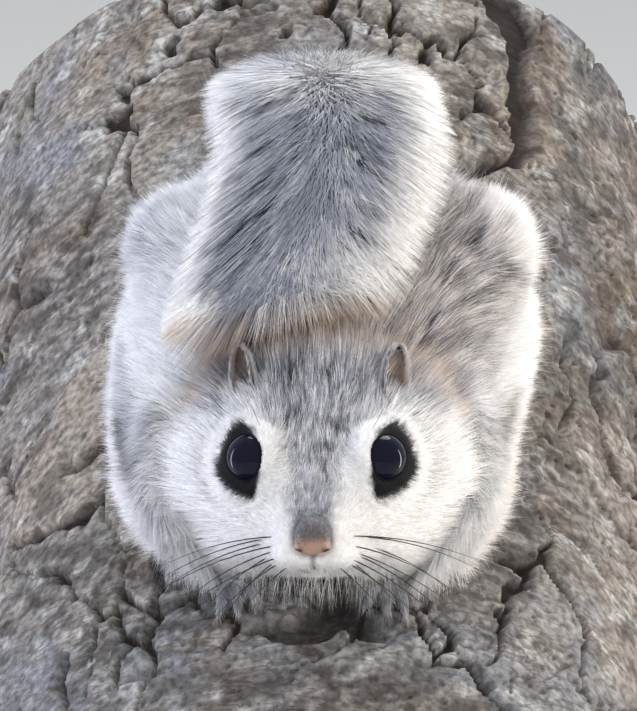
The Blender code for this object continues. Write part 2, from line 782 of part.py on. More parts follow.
def make_base():
    mesh = bpy.data.meshes.new("stand_base")
    work = bmesh.new()
    bmesh.ops.create_cube(work, size=1)
    bmesh.ops.scale(work, vec=BASE_SIZE, verts=work.verts)
    bmesh.ops.translate(work, vec=(0, 0, BASE_SIZE.z / 2), verts=work.verts)
    work.to_mesh(mesh)
    work.free()
    base = bpy.data.objects.new("stand_base", mesh)
    base.data.materials.append(material("board"))
    bpy.context.scene.collection.objects.link(base)
    corners = base.modifiers.new("edges", "BEVEL")
    corners.width = 2.5 * MM
    corners.segments = 2
    apply_modifiers(base)
    return base


def make_rod(name, place, trunk):
    """A rod from the board up to the trunk, whose end is cut to the bark."""
    top = TRUNK_HEIGHT
    bottom = BASE_SIZE.z + GAP
    rod = bpy.data.objects.new(name, bpy.data.meshes.new(name))
    work = bmesh.new()
    bmesh.ops.create_cone(work, cap_ends=True, segments=16, radius1=ROD_RADIUS, radius2=ROD_RADIUS, depth=top - bottom)
    bmesh.ops.translate(work, vec=(0, place, (top + bottom) / 2), verts=work.verts)
    work.to_mesh(rod.data)
    work.free()
    rod.data.materials.append(material("steel"))
    bpy.context.scene.collection.objects.link(rod)
    cutter = grown(trunk)
    cutter.matrix_world = leaning_frame()
    boolean(rod, "DIFFERENCE", cutter)
    remove(cutter)
    return rod


def leaning_frame():
    return Matrix.Translation((0, TRUNK_SETBACK, TRUNK_HEIGHT)) @ Matrix.Rotation(TRUNK_LEAN, 4, "X")


def lean_all(objects):
    frame = bpy.data.objects.new("leaning_frame", None)
    bpy.context.scene.collection.objects.link(frame)
    frame.location = (0, TRUNK_SETBACK, TRUNK_HEIGHT)
    frame.rotation_euler = (TRUNK_LEAN, 0, 0)
    for obj in objects:
        obj.parent = frame


def main():
    clear_scene()
    trunk = make_trunk()
    head = head_form()
    torso = torso_form()
    forelegs = {side: foreleg_form(side) for side in (LEFT, RIGHT)}
    hindlegs = {side: hindleg_form(side) for side in (LEFT, RIGHT)}
    membranes = {side: membrane_form(side) for side in (LEFT, RIGHT)}
    forms = {}
    for obj in (head, torso, *forelegs.values(), *hindlegs.values(), *membranes.values()):
        copy = bpy.data.objects.new(obj.name + "_form", obj.data.copy())
        bpy.context.scene.collection.objects.link(copy)
        forms[obj.name] = copy

    eyes = {side: make_eye(side) for side in (LEFT, RIGHT)}
    nose = make_nose()
    ears = {side: make_ear(side, forms["head"]) for side in (LEFT, RIGHT)}
    finish_face(head)
    fit_against(head, *eyes.values(), nose, trunk)
    fit_against(torso, forms["head"], *ears.values(), trunk)
    pieces = [trunk, head, torso, nose, *eyes.values(), *ears.values()]
    for side in (LEFT, RIGHT):
        word = SIDE_NAMES[side]
        fore, hind = forms[f"foreleg_{word}"], forms[f"hindleg_{word}"]
        fit_against(forelegs[side], forms["head"], forms["torso"], trunk)
        fit_against(hindlegs[side], forms["torso"], trunk)
        fit_against(membranes[side], forms["head"], forms["torso"], fore, hind, trunk)
        forepaw = make_paw(f"forepaw_{word}", side, FOREPAW)
        hindfoot = make_paw(f"hindfoot_{word}", side, HINDFOOT)
        fit_against(forepaw, fore, forms["head"], forms[membranes[side].name], trunk)
        fit_against(hindfoot, hind, forms["torso"], forms[membranes[side].name], trunk)
        pieces += [forelegs[side], hindlegs[side], membranes[side], forepaw, hindfoot]
    pieces += make_tail((forms["torso"], forms["head"], *ears.values()))
    rods = [make_rod("stand_rod_front", -45 * MM, trunk), make_rod("stand_rod_rear", 45 * MM, trunk)]
    for rod in rods:
        keep_largest(rod)
    make_base()
    remove(*forms.values())
    lean_all(pieces)


main()
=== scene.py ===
"""The looks of a life-size flying squirrel that crouches head down on a short leaning length of trunk.

Most shapes are worked out in the trunk's own frame, in millimetres: the origin is on the bark under the
animal's neck, +Y runs up the trunk, +Z stands off the bark and +X is the animal's left.
"""

import math

import bmesh
import bpy
import numpy as np
from mathutils import Matrix, Vector, kdtree
from mathutils.bvhtree import BVHTree


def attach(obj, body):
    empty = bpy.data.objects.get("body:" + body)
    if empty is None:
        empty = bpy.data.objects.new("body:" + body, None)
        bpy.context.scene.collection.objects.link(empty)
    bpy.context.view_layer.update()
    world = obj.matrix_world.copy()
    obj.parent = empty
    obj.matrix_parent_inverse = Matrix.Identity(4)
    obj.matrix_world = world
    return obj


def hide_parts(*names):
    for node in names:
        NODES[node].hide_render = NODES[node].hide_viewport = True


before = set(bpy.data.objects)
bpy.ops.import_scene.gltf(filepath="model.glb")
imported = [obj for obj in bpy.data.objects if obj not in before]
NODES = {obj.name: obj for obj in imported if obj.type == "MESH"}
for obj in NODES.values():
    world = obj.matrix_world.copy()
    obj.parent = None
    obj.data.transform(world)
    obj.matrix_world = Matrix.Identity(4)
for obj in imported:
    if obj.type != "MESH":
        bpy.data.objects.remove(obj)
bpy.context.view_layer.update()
SCENE = bpy.context.scene

MM = 0.001
TRUNK_LEAN = math.radians(32)
TRUNK_HEIGHT = 174.0
TRUNK_SETBACK = -83.0
TRUNK_RADIUS = 70.0
TRUNK_LOW_END = -56.0
TRUNK_HIGH_END = 164.0
LEAN = Matrix.Rotation(TRUNK_LEAN, 4, "X")
LEAN_TURN = np.array(LEAN.to_3x3())
LEAN_SHIFT = np.array((0, TRUNK_SETBACK, TRUNK_HEIGHT))

LEFT, RIGHT = 1, -1
SIDE_NAMES = {LEFT: "left", RIGHT: "right"}

HEAD_PITCH = math.radians(15)
HEAD_YAW = math.radians(2.3)
NOSE_TIP = np.array((-0.4, -25.0, 19.0))
EYE_RADIUS = 4.5
EYE_SIDE, EYE_BACK, EYE_UP = 10.8, 15.8, 7.6
EAR_SIDE, EAR_BACK, EAR_UP = 12.3, 27.0, 13.2
HEAD_AXES = np.array((
    (1, 0, 0),
    (math.sin(HEAD_YAW), math.cos(HEAD_PITCH), -math.sin(HEAD_PITCH)),
    (0, math.sin(HEAD_PITCH), math.cos(HEAD_PITCH)),
))


# Numbers that vary over space

def smooth(low, high, values):
    share = np.clip((np.asarray(values, float) - low) / (high - low), 0, 1)
    return share * share * (3 - 2 * share)


def unit(vectors):
    return vectors / np.maximum(np.linalg.norm(vectors, axis=-1, keepdims=True), 1e-9)


def side_by_side(*parts):
    """Rows of numbers from columns and plain numbers."""
    return np.stack(np.broadcast_arrays(*parts), axis=1)


def bell(values, middle, width):
    """One at the middle, and falling off on both sides."""
    return np.exp(-(((values - middle) / width) ** 2))


def scatter(cells, seed):
    """A number from 0 to 1 for each lattice cell."""
    cells = cells.astype(np.int64)
    mixed = cells[..., 0] * 374761393 + cells[..., 1] * 668265263 + cells[..., 2] * 2147483647
    mixed = mixed + seed * 1274126177
    mixed = (mixed ^ (mixed >> 13)) * 1103515245 & 0x7FFFFFFF
    mixed = (mixed ^ (mixed >> 16)) * 69069 & 0x7FFFFFFF
    return (mixed & 0xFFFFFF) / float(0xFFFFFF)


def noise(points, size, seed=0):
    """Smooth noise from 0 to 1 with lumps of the given size."""
    spots = np.asarray(points, float) / size
    low = np.floor(spots)
    part = spots - low
    part = part * part * (3 - 2 * part)
    total = 0
    for corner in np.ndindex(2, 2, 2):
        weight = np.prod(np.where(corner, part, 1 - part), axis=-1)
        total = total + weight * scatter(low + np.array(corner), seed)
    return total


def to_world(points):
    return (np.asarray(points) * MM) @ LEAN_TURN.T + LEAN_SHIFT * MM


def to_trunk(points):
    return ((np.asarray(points) - LEAN_SHIFT * MM) @ LEAN_TURN) / MM


def from_head(side, back, up):
    return NOSE_TIP + np.array((side, back, up)) @ HEAD_AXES


def in_head(points):
    """Distances to the left, behind the nose tip and above the muzzle's axis."""
    return (np.asarray(points) - NOSE_TIP) @ np.linalg.inv(HEAD_AXES)


# Meshes

def build_mesh(name, points, faces, world=True):
    """A mesh object from points in the trunk's frame and rows of equal faces."""
    points = to_world(points) if world else np.asarray(points)
    faces = np.asarray(faces, np.int32)
    corners = faces.shape[1]
    mesh = bpy.data.meshes.new(name)
    mesh.vertices.add(len(points))
    mesh.vertices.foreach_set("co", points.astype(np.float32).ravel())
    mesh.loops.add(faces.size)
    mesh.loops.foreach_set("vertex_index", faces.ravel())
    mesh.polygons.add(len(faces))
    mesh.polygons.foreach_set("loop_start", np.arange(0, faces.size, corners, dtype=np.int32))
    mesh.polygons.foreach_set("use_smooth", np.ones(len(faces), bool))
    mesh.update()
    obj = bpy.data.objects.new(name, mesh)
    SCENE.collection.objects.link(obj)
    return obj


def points_of(mesh):
    flat = np.empty(len(mesh.vertices) * 3, np.float32)
    mesh.vertices.foreach_get("co", flat)
    return flat.reshape(-1, 3).astype(float)


def move_points(mesh, points):
    mesh.vertices.foreach_set("co", points.astype(np.float32).ravel())
    mesh.update()


def normals_of(mesh):
    flat = np.empty(len(mesh.vertices) * 3, np.float32)
    mesh.vertex_normals.foreach_get("vector", flat)
    return flat.reshape(-1, 3).astype(float)


def triangles_of(mesh):
    mesh.calc_loop_triangles()
    flat = np.empty(len(mesh.loop_triangles) * 3, np.int32)
    mesh.loop_triangles.foreach_get("vertices", flat)
    return flat.reshape(-1, 3)


def edges_of(mesh):
    flat = np.empty(len(mesh.edges) * 2, np.int32)
    mesh.edges.foreach_get("vertices", flat)
    return flat.reshape(-1, 2)


def spread_over(edges, values, rounds, share=0.5):
    """Values on the points, each drawn towards the mean of its neighbours."""
    values = np.array(values, float)
    flat = values.reshape(len(values), -1)
    count = np.bincount(edges.ravel(), minlength=len(values))[:, None]
    for _ in range(rounds):
        total = np.zeros_like(flat)
        for column in range(flat.shape[1]):
            total[:, column] = np.bincount(edges[:, 0], flat[edges[:, 1], column], len(values))
            total[:, column] += np.bincount(edges[:, 1], flat[edges[:, 0], column], len(values))
        flat = flat + share * (total / np.maximum(count, 1) - flat)
    return flat.reshape(values.shape)


def give_mask(obj, name, values):
    """A four-number attribute on the points."""
    values = np.asarray(values, np.float32)
    attribute = obj.data.attributes.new(name, "FLOAT_COLOR", "POINT")
    attribute.data.foreach_set("color", values.ravel())


def give_number(obj, name, values):
    """A one-number attribute on the points."""
    attribute = obj.data.attributes.new(name, "FLOAT", "POINT")
    attribute.data.foreach_set("value", values.astype(np.float32))


def give_uv(obj, name, uv):
    """A UV map from one place for each point."""
    layer = obj.data.uv_layers.new(name=name)
    corners = np.empty(len(obj.data.loops), np.int32)
    obj.data.loops.foreach_get("vertex_index", corners)
    layer.data.foreach_set("uv", uv[corners].astype(np.float32).ravel())


def finish_piece(obj, material, slot, *replaced):
    obj.data.materials.clear()
    obj.data.materials.append(material)
    if replaced:
        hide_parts(*replaced)
    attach(obj, "root")
    return obj


def copy_node(name):
    """A merged copy of a solid from the frame."""
    work = bmesh.new()
    work.from_mesh(NODES[name].data)
    bmesh.ops.remove_doubles(work, verts=work.verts, dist=0.00002)
    mesh = bpy.data.meshes.new(name + "_copy")
    work.to_mesh(mesh)
    work.free()
    return mesh


def remeshed(obj, size):
    """The object as one closed skin of small even faces."""
    remesh = obj.modifiers.new("one_skin", "REMESH")
    remesh.mode = "VOXEL"
    remesh.voxel_size = size
    mesh = bpy.data.meshes.new_from_object(obj.evaluated_get(bpy.context.evaluated_depsgraph_get()))
    old = obj.data
    obj.modifiers.clear()
    obj.data = mesh
    bpy.data.meshes.remove(old)
    return obj


def recalculate(obj):
    """Faces turned outwards."""
    work = bmesh.new()
    work.from_mesh(obj.data)
    bmesh.ops.recalc_face_normals(work, faces=work.faces)
    work.to_mesh(obj.data)
    work.free()
    return obj


def tube_faces(rings, sides, start=0, closed=False):
    """Two triangles for each patch between rings of points; a closed tube's last ring joins its first."""
    faces, last = [], start + (rings - 1) * sides
    for ring in range(start, last + closed, sides):
        after = start if ring == last else ring + sides
        for i in range(sides):
            j = (i + 1) % sides
            faces += [(ring + i, ring + j, after + j), (ring + i, after + j, after + i)]
    return faces


def fan_faces(ring, sides, middle):
    """Triangles from a ring of points to one in its middle."""
    return [(ring + i, ring + (i + 1) % sides, middle) for i in range(sides)]


# Shader pieces

def add_node(tree, kind, links=(), **settings):
    """A node with its settings; links are pairs of an input's name or number and a value or a socket."""
    made = tree.nodes.new(kind)
    for key, value in settings.items():
        setattr(made, key, value)
    for key, value in links:
        if isinstance(value, bpy.types.NodeSocket):
            tree.links.new(value, made.inputs[key])
        else:
            made.inputs[key].default_value = value
    return made


def object_place(tree):
    return add_node(tree, "ShaderNodeTexCoord").outputs["Object"]


def noise_texture(tree, place, scale, detail=2.0):
    return add_node(tree, "ShaderNodeTexNoise", (("Vector", place), ("Scale", scale), ("Detail", detail)))


def stretched(tree, *scale):
    """The place on the object, drawn out along its axes."""
    made = add_node(tree, "ShaderNodeMapping", (("Vector", object_place(tree)), ("Scale", scale)))
    return made.outputs[0]


def between(tree, value, low, high, first=0.0, last=1.0):
    """A value read on the span from low to high, and given as one from first to last."""
    made = add_node(tree, "ShaderNodeMapRange", ((0, value), (1, low), (2, high), (3, first), (4, last)))
    return made.outputs[0]


def mask_parts(tree, name):
    """Red, green, blue and alpha of an attribute."""
    mask = add_node(tree, "ShaderNodeAttribute", attribute_name=name)
    parts = add_node(tree, "ShaderNodeSeparateColor", ((0, mask.outputs["Color"]),))
    return (*parts.outputs, mask.outputs["Alpha"])


def bumped(tree, strength, distance, height, *under):
    """A normal from a height, over the normal under it where there is one."""
    links = [("Strength", strength), ("Distance", distance), ("Height", height)]
    links += [("Normal", normal) for normal in under]
    return add_node(tree, "ShaderNodeBump", links).outputs[0]


def dress(tree, shader, colour, normal):
    tree.links.new(colour, shader.inputs["Base Color"])
    tree.links.new(normal, shader.inputs["Normal"])


def mix_colour(tree, share, first, second, blend="MIX"):
    made = add_node(tree, "ShaderNodeMix", data_type="RGBA", blend_type=blend)
    for key, value in ((0, share), (6, first), (7, second)):
        if isinstance(value, bpy.types.NodeSocket):
            tree.links.new(value, made.inputs[key])
        else:
            made.inputs[key].default_value = value if key == 0 else (*value, 1)
    return made.outputs[2]


def math_node(tree, operation, first, second=0.0, third=0.0):
    made = add_node(tree, "ShaderNodeMath", ((0, first), (1, second), (2, third)), operation=operation)
    return made.outputs[0]


def shaded(tree, colour, share):
    """A colour times a number."""
    grey = add_node(tree, "ShaderNodeCombineColor", ((0, share), (1, share), (2, share)))
    return mix_colour(tree, 1.0, colour, grey.outputs[0], "MULTIPLY")


def new_group(name, inputs, outputs):
    """An empty node group with named sockets; each is a name, a kind and a value."""
    tree = bpy.data.node_groups.new(name, "ShaderNodeTree")
    for label, kind, value in inputs:
        socket = tree.interface.new_socket(label, in_out="INPUT", socket_type=f"NodeSocket{kind}")
        socket.default_value = (*value, 1) if kind == "Color" else value
    for label, kind in outputs:
        tree.interface.new_socket(label, in_out="OUTPUT", socket_type=f"NodeSocket{kind}")
    return tree, add_node(tree, "NodeGroupInput"), add_node(tree, "NodeGroupOutput")


def new_material(name, **values):
    """A material and its tree and shader, with plain values set on the shader's own sockets."""
    material = bpy.data.materials.new(name)
    material.use_nodes = True
    shader = material.node_tree.nodes["Principled BSDF"]
    for label, value in values.items():
        socket = shader.inputs[label.replace("_", " ")]
        socket.default_value = (*value, 1) if hasattr(value, "__len__") and len(value) == 3 else value
    return material, material.node_tree, shader


def use_group(tree, group, *values):
    """A group's node; values are pairs of an input's name and a number."""
    return add_node(tree, "ShaderNodeGroup", values, node_tree=group)


def coat_tone_group():
    """The tone of skin and coat: their mask's red is grey, green buff, blue dark, and alpha is root to tip."""
    tree, given, result = new_group(
        "coat_tone",
        (
            ("White", "Color", (0.90, 0.885, 0.875)),
            ("Grey", "Color", (0.190, 0.212, 0.272)),
            ("Buff", "Color", (0.52, 0.335, 0.185)),
            ("Dark", "Color", (0.006, 0.006, 0.008)),
            ("Root shade", "Float", 0.6),
        ),
        (("Colour", "Color"),),
    )
    grey, buff, dark, along = mask_parts(tree, "coat_mask")
    speckle = noise_texture(tree, object_place(tree), 900.0).outputs[0]
    fade = between(tree, along, 0.35, 1.0, 1.0, 0.78)
    grey = math_node(tree, "MULTIPLY", grey, fade)
    warm = math_node(tree, "MULTIPLY", buff, between(tree, along, 0.5, 1.0, 0.12, 1.0))
    black = math_node(tree, "MULTIPLY_ADD", dark, 2.0, -1.0)
    dark = math_node(tree, "MAXIMUM", math_node(tree, "MULTIPLY", dark, fade), black)
    tone = mix_colour(tree, grey, given.outputs["White"], given.outputs["Grey"])
    tone = mix_colour(tree, warm, tone, given.outputs["Buff"])
    tone = mix_colour(tree, dark, tone, given.outputs["Dark"])
    depth = between(tree, along, 0.0, 1.0, given.outputs["Root shade"])
    light = between(tree, speckle, 0.3, 0.7, 0.9, 1.08)
    tone = shaded(tree, tone, math_node(tree, "MULTIPLY", depth, light))
    tree.links.new(tone, result.inputs[0])
    return tree


COAT_TONE = coat_tone_group()


def coat_material():
    material, tree, shader = new_material(
        "coat_hair", Roughness=0.62, Sheen_Weight=0.04, Sheen_Roughness=0.5, Specular_IOR_Level=0.1
    )
    tree.links.new(use_group(tree, COAT_TONE).outputs[0], shader.inputs["Base Color"])
    return material


def skin_material():
    material, tree, shader = new_material("coat_skin", Roughness=0.8, Specular_IOR_Level=0.2)
    tone = use_group(tree, COAT_TONE, ("Root shade", 0.5))
    down = noise_texture(tree, object_place(tree), 2600.0, 3.0)
    dress(tree, shader, tone.outputs[0], bumped(tree, 0.6, 0.0003, down.outputs[0]))
    return material


# The body's skin

FLESH = [
    "head", "torso", "tail_root",
    *(f"{part}_{word}" for part in ("foreleg", "hindleg", "gliding_membrane") for word in ("left", "right")),
]
PAWS = [f"{part}_{word}" for part in ("forepaw", "hindfoot") for word in ("left", "right")]
BODY = FLESH + PAWS
# For each kind of flesh: the coat's depth, its length, its width and tufts per square millimetre
COATS = {
    "head": (1.7, 4.4, 0.17, 16.0),
    "torso": (2.6, 6.8, 0.165, 12.5),
    "tail_root": (3.2, 8.5, 0.19, 9.0),
    "foreleg": (2.0, 5.3, 0.165, 15.0),
    "hindleg": (2.5, 6.6, 0.16, 14.0),
    "gliding_membrane": (1.9, 6.0, 0.16, 13.0),
    "paw": (0.0, 1.3, 0.14, 9.0),
}
KINDS = list(COATS)
BODY_VOXEL = 0.72 * MM
PAW_VOXEL = 0.3 * MM
CREASE_ROUNDS = 80
GUARD_SHARE = 0.05
CHIN_SHARE = 0.12
CHIN_WAY = (0, -0.8, -0.45)
# The bare patch under the nose pad, in the head's own frame
NOSE_MIDDLE = (0, 1.2, 0.35)
NOSE_HALF = (3.0, 3.0, 2.75)


def kind_of(node):
    if node in PAWS:
        return "paw"
    return next(kind for kind in KINDS if node.startswith(kind))


def is_kind(kinds, *names):
    return np.isin(kinds, [KINDS.index(name) for name in names])


def joined(name, meshes, swell=0.0):
    """One object from several meshes, each pushed out a little."""
    points, faces, start = [], [], 0
    for mesh in meshes:
        spots = points_of(mesh) + normals_of(mesh) * swell
        points.append(spots)
        faces.append(triangles_of(mesh) + start)
        start += len(spots)
    return build_mesh(name, np.concatenate(points), np.concatenate(faces), world=False)


def eye_axes(side):
    """The way that the eye looks, and the directions along and across its slit, in the trunk's frame."""
    turn = np.array(Matrix.Rotation(-HEAD_PITCH, 3, "X"))
    look = unit(turn @ np.array((side * 0.62, -0.64, 0.45)))
    back = turn @ np.array((side * 0.25, 0.72, 0.73))
    along = unit(back - look * back.dot(look))
    return look, along, np.cross(look, along)


EYES = {side: (from_head(side * EYE_SIDE, EYE_BACK, EYE_UP), *eye_axes(side)) for side in (LEFT, RIGHT)}
LID_LONG, LID_SHORT, LID_INWARD = math.radians(64), math.radians(52), math.radians(6)


def lid_opening(turn, side):
    """The angle from the eye's axis to the lids' rim: long and pointed, and wider towards the nose."""
    return LID_SHORT + LID_INWARD * side * np.sin(turn) + (LID_LONG - LID_SHORT) * np.abs(np.cos(turn)) ** 5


def eye_polar(points, side):
    """Each point's angle from the eye's axis, its turn about it and its distance from the eye's middle."""
    centre, look, along, across = EYES[side]
    ray = points - centre
    reach = np.linalg.norm(ray, axis=1)
    tilt = np.arccos(np.clip(ray @ look / np.maximum(reach, 1e-6), -1, 1))
    return tilt, np.arctan2(ray @ across, ray @ along), reach


def eye_distance(points, side):
    """How far past the lids' rim each point lies, as an angle, and its distance from the eye's middle."""
    tilt, turn, reach = eye_polar(points, side)
    return tilt - lid_opening(turn, side), reach


# The black ring round each eye, from in front: turns in degrees from its top outward, and its reach there
RING_TURNS = (
    -23, -5, 6, 14, 33, 60, 84, 112, 134, 158,
    177, 198, 216, 240, 262, 303, 323, 337, 355, 366,
)
RING_REACH = (
    5.0, 5.8, 5.9, 5.4, 4.5, 3.9, 3.8, 4.3, 4.8, 5.3,
    6.0, 7.1, 4.9, 3.6, 3.1, 3.4, 4.3, 5.0, 5.8, 5.9,
)
RING_SHIFT = 1.8


def eye_ring(points, side):
    """One on the black ring round the lids, a leaf with a point at its top and one low towards the nose."""
    across, back, up = in_head(points).T
    out = side * across - EYE_SIDE - RING_SHIFT
    high = 0.9 * (up - EYE_UP) + 0.43 * (back - EYE_BACK)
    turn = np.degrees(np.arctan2(out, high)) % 360
    reach = np.hypot(out, high) / np.interp(turn, RING_TURNS, RING_REACH)
    near = np.linalg.norm(points - EYES[side][0], axis=1) < EYE_RADIUS * 2.3
    return (1 - smooth(0.94, 1.10, reach)) * near


def body_label(points_world):
    """The nearest solid of flesh for each point."""
    spots, faces, owner, start = [], [], [], 0
    for number, node in enumerate(BODY):
        mesh = NODES[node].data
        triangles = triangles_of(mesh)
        spots.append(points_of(mesh))
        faces.append(triangles + start)
        owner += [number] * len(triangles)
        start += len(spots[-1])
    tree = BVHTree.FromPolygons(
        [tuple(place) for place in np.concatenate(spots)], [tuple(face) for face in np.concatenate(faces)]
    )
    return np.array([owner[tree.find_nearest(Vector(p))[2]] for p in points_world])


def refine_face(obj, spots):
    """Smaller faces round the eyes and the mouth."""
    near = np.linalg.norm(spots - from_head(0, 3, -5), axis=1) < 4.5
    for side in (LEFT, RIGHT):
        near |= np.linalg.norm(spots - EYES[side][0], axis=1) < EYE_RADIUS * 1.85
    work = bmesh.new()
    work.from_mesh(obj.data)
    work.verts.ensure_lookup_table()
    edges = [edge for edge in work.edges if near[edge.verts[0].index] and near[edge.verts[1].index]]
    bmesh.ops.subdivide_edges(work, edges=edges, cuts=1, use_grid_fill=True)
    bmesh.ops.triangulate(work, faces=work.faces)
    work.to_mesh(obj.data)
    work.free()


def socket_floor(past):
    """The skin's least distance from the eye's middle: within the lids it is sunk, past them it flares."""
    return np.where(past < 0, 0.8 * EYE_RADIUS, EYE_RADIUS + 0.25 + 1.15 * smooth(0, 0.34, past))


def make_skin():
    """One closed skin under the coat, from all the solids of flesh, with the paws joined to it."""
    flesh = [copy_node(name) for name in (*FLESH, "eye_left", "eye_right")]
    body = remeshed(joined("skin", flesh, 0.4 * MM), BODY_VOXEL)
    mesh = body.data
    edges = edges_of(mesh)
    spots = spread_over(edges, to_trunk(points_of(mesh)), 8)
    move_points(mesh, to_world(spots))
    filled = spread_over(edges, spots, CREASE_ROUNDS)
    outward = np.sum((filled - spots) * (normals_of(mesh) @ LEAN_TURN), axis=1)
    near_eye = np.min([np.linalg.norm(spots - EYES[side][0], axis=1) for side in (LEFT, RIGHT)], axis=0)
    share = smooth(0, 0.5, outward) * smooth(7, 11, near_eye)
    spots = spots + (filled - spots) * spread_over(edges, share, 4)[:, None]
    mesh.vertices.foreach_set("co", to_world(spots).astype(np.float32).ravel())
    refine_face(body, spots)
    edges = edges_of(mesh)
    spots = to_trunk(points_of(mesh))
    labels = body_label(points_of(mesh))
    depth = np.array([COATS[kind_of(BODY[k])][0] for k in labels])
    is_head = labels == BODY.index("head")
    depth = np.where(is_head, depth * (0.15 + 0.85 * smooth(0, 20, in_head(spots)[:, 1])), depth)
    for side in (LEFT, RIGHT):
        past, reach = eye_distance(spots, side)
        depth = depth * (1 - 0.75 * (1 - smooth(0.2, 1.0, past)) * (reach < EYE_RADIUS * 2.2))
    side, back, up = in_head(spots).T
    depth = depth + 1.8 * is_head * smooth(-7, -9.5, up) * smooth(15, 11, np.abs(side)) * smooth(18, 12, back)
    depth = spread_over(edges, depth, 12)
    normals = normals_of(mesh) @ LEAN_TURN
    spots = spots - normals * depth[:, None]
    for side in (LEFT, RIGHT):
        centre = EYES[side][0]
        past, reach = eye_distance(spots, side)
        ray = unit(spots - centre)
        floor = socket_floor(past)
        sunk = centre + ray * floor[:, None]
        inside = (past < 0) & (reach < EYE_RADIUS * 1.8)
        lid = (past >= 0) & (past < 1.2) & (reach < floor)
        spots = np.where((inside | lid)[:, None], sunk, spots)
    move_points(mesh, to_world(spots))
    feet = remeshed(joined("feet", [copy_node(name) for name in PAWS], 0.15 * MM), PAW_VOXEL)
    move_points(feet.data, spread_over(edges_of(feet.data), points_of(feet.data), 3))
    skin = joined("skin_of_body", [body.data, feet.data])
    bpy.data.objects.remove(body)
    bpy.data.objects.remove(feet)
    return skin


# Markings

def nape_share(spots):
    """One on the nape, where the tail's fringe comes down."""
    x, y, z = spots.T
    return smooth(32, 18, y) * smooth(2, 8, y) * smooth(26, 17, x) * smooth(-19, -10, x) * smooth(16, 24, z)


def stripe_width(back):
    """Half the width of the grey stripe from the nose to the nape."""
    return np.interp(back, (0, 4, 8, 12, 16, 22, 30, 40), (2.7, 3.6, 4.6, 5.6, 6.6, 9.5, 14.0, 22.0))


def folds_with_painted_shade(spots):
    """The slits beside the wrists, where the membrane's edge stands away from the body; the dark laid along
    them is painted shade.
    """
    x, y, z = spots.T
    line_left = np.interp(y, (2, 8, 14, 22, 34), (9.0, 6.5, 4.0, 3.0, 3.0))
    line_right = np.interp(y, (2, 8, 12, 18, 27), (8.0, 5.5, 3.6, 2.6, 2.6))
    left = bell(z, line_left, 2.2) * smooth(26, 29, x) * smooth(2, 8, y) * smooth(34, 28, y)
    right = bell(z, line_right, 2.6) * smooth(-27, -30, x) * smooth(0, 5, y) * smooth(28, 24, y)
    return np.minimum(1, 0.95 * left + 1.5 * right)


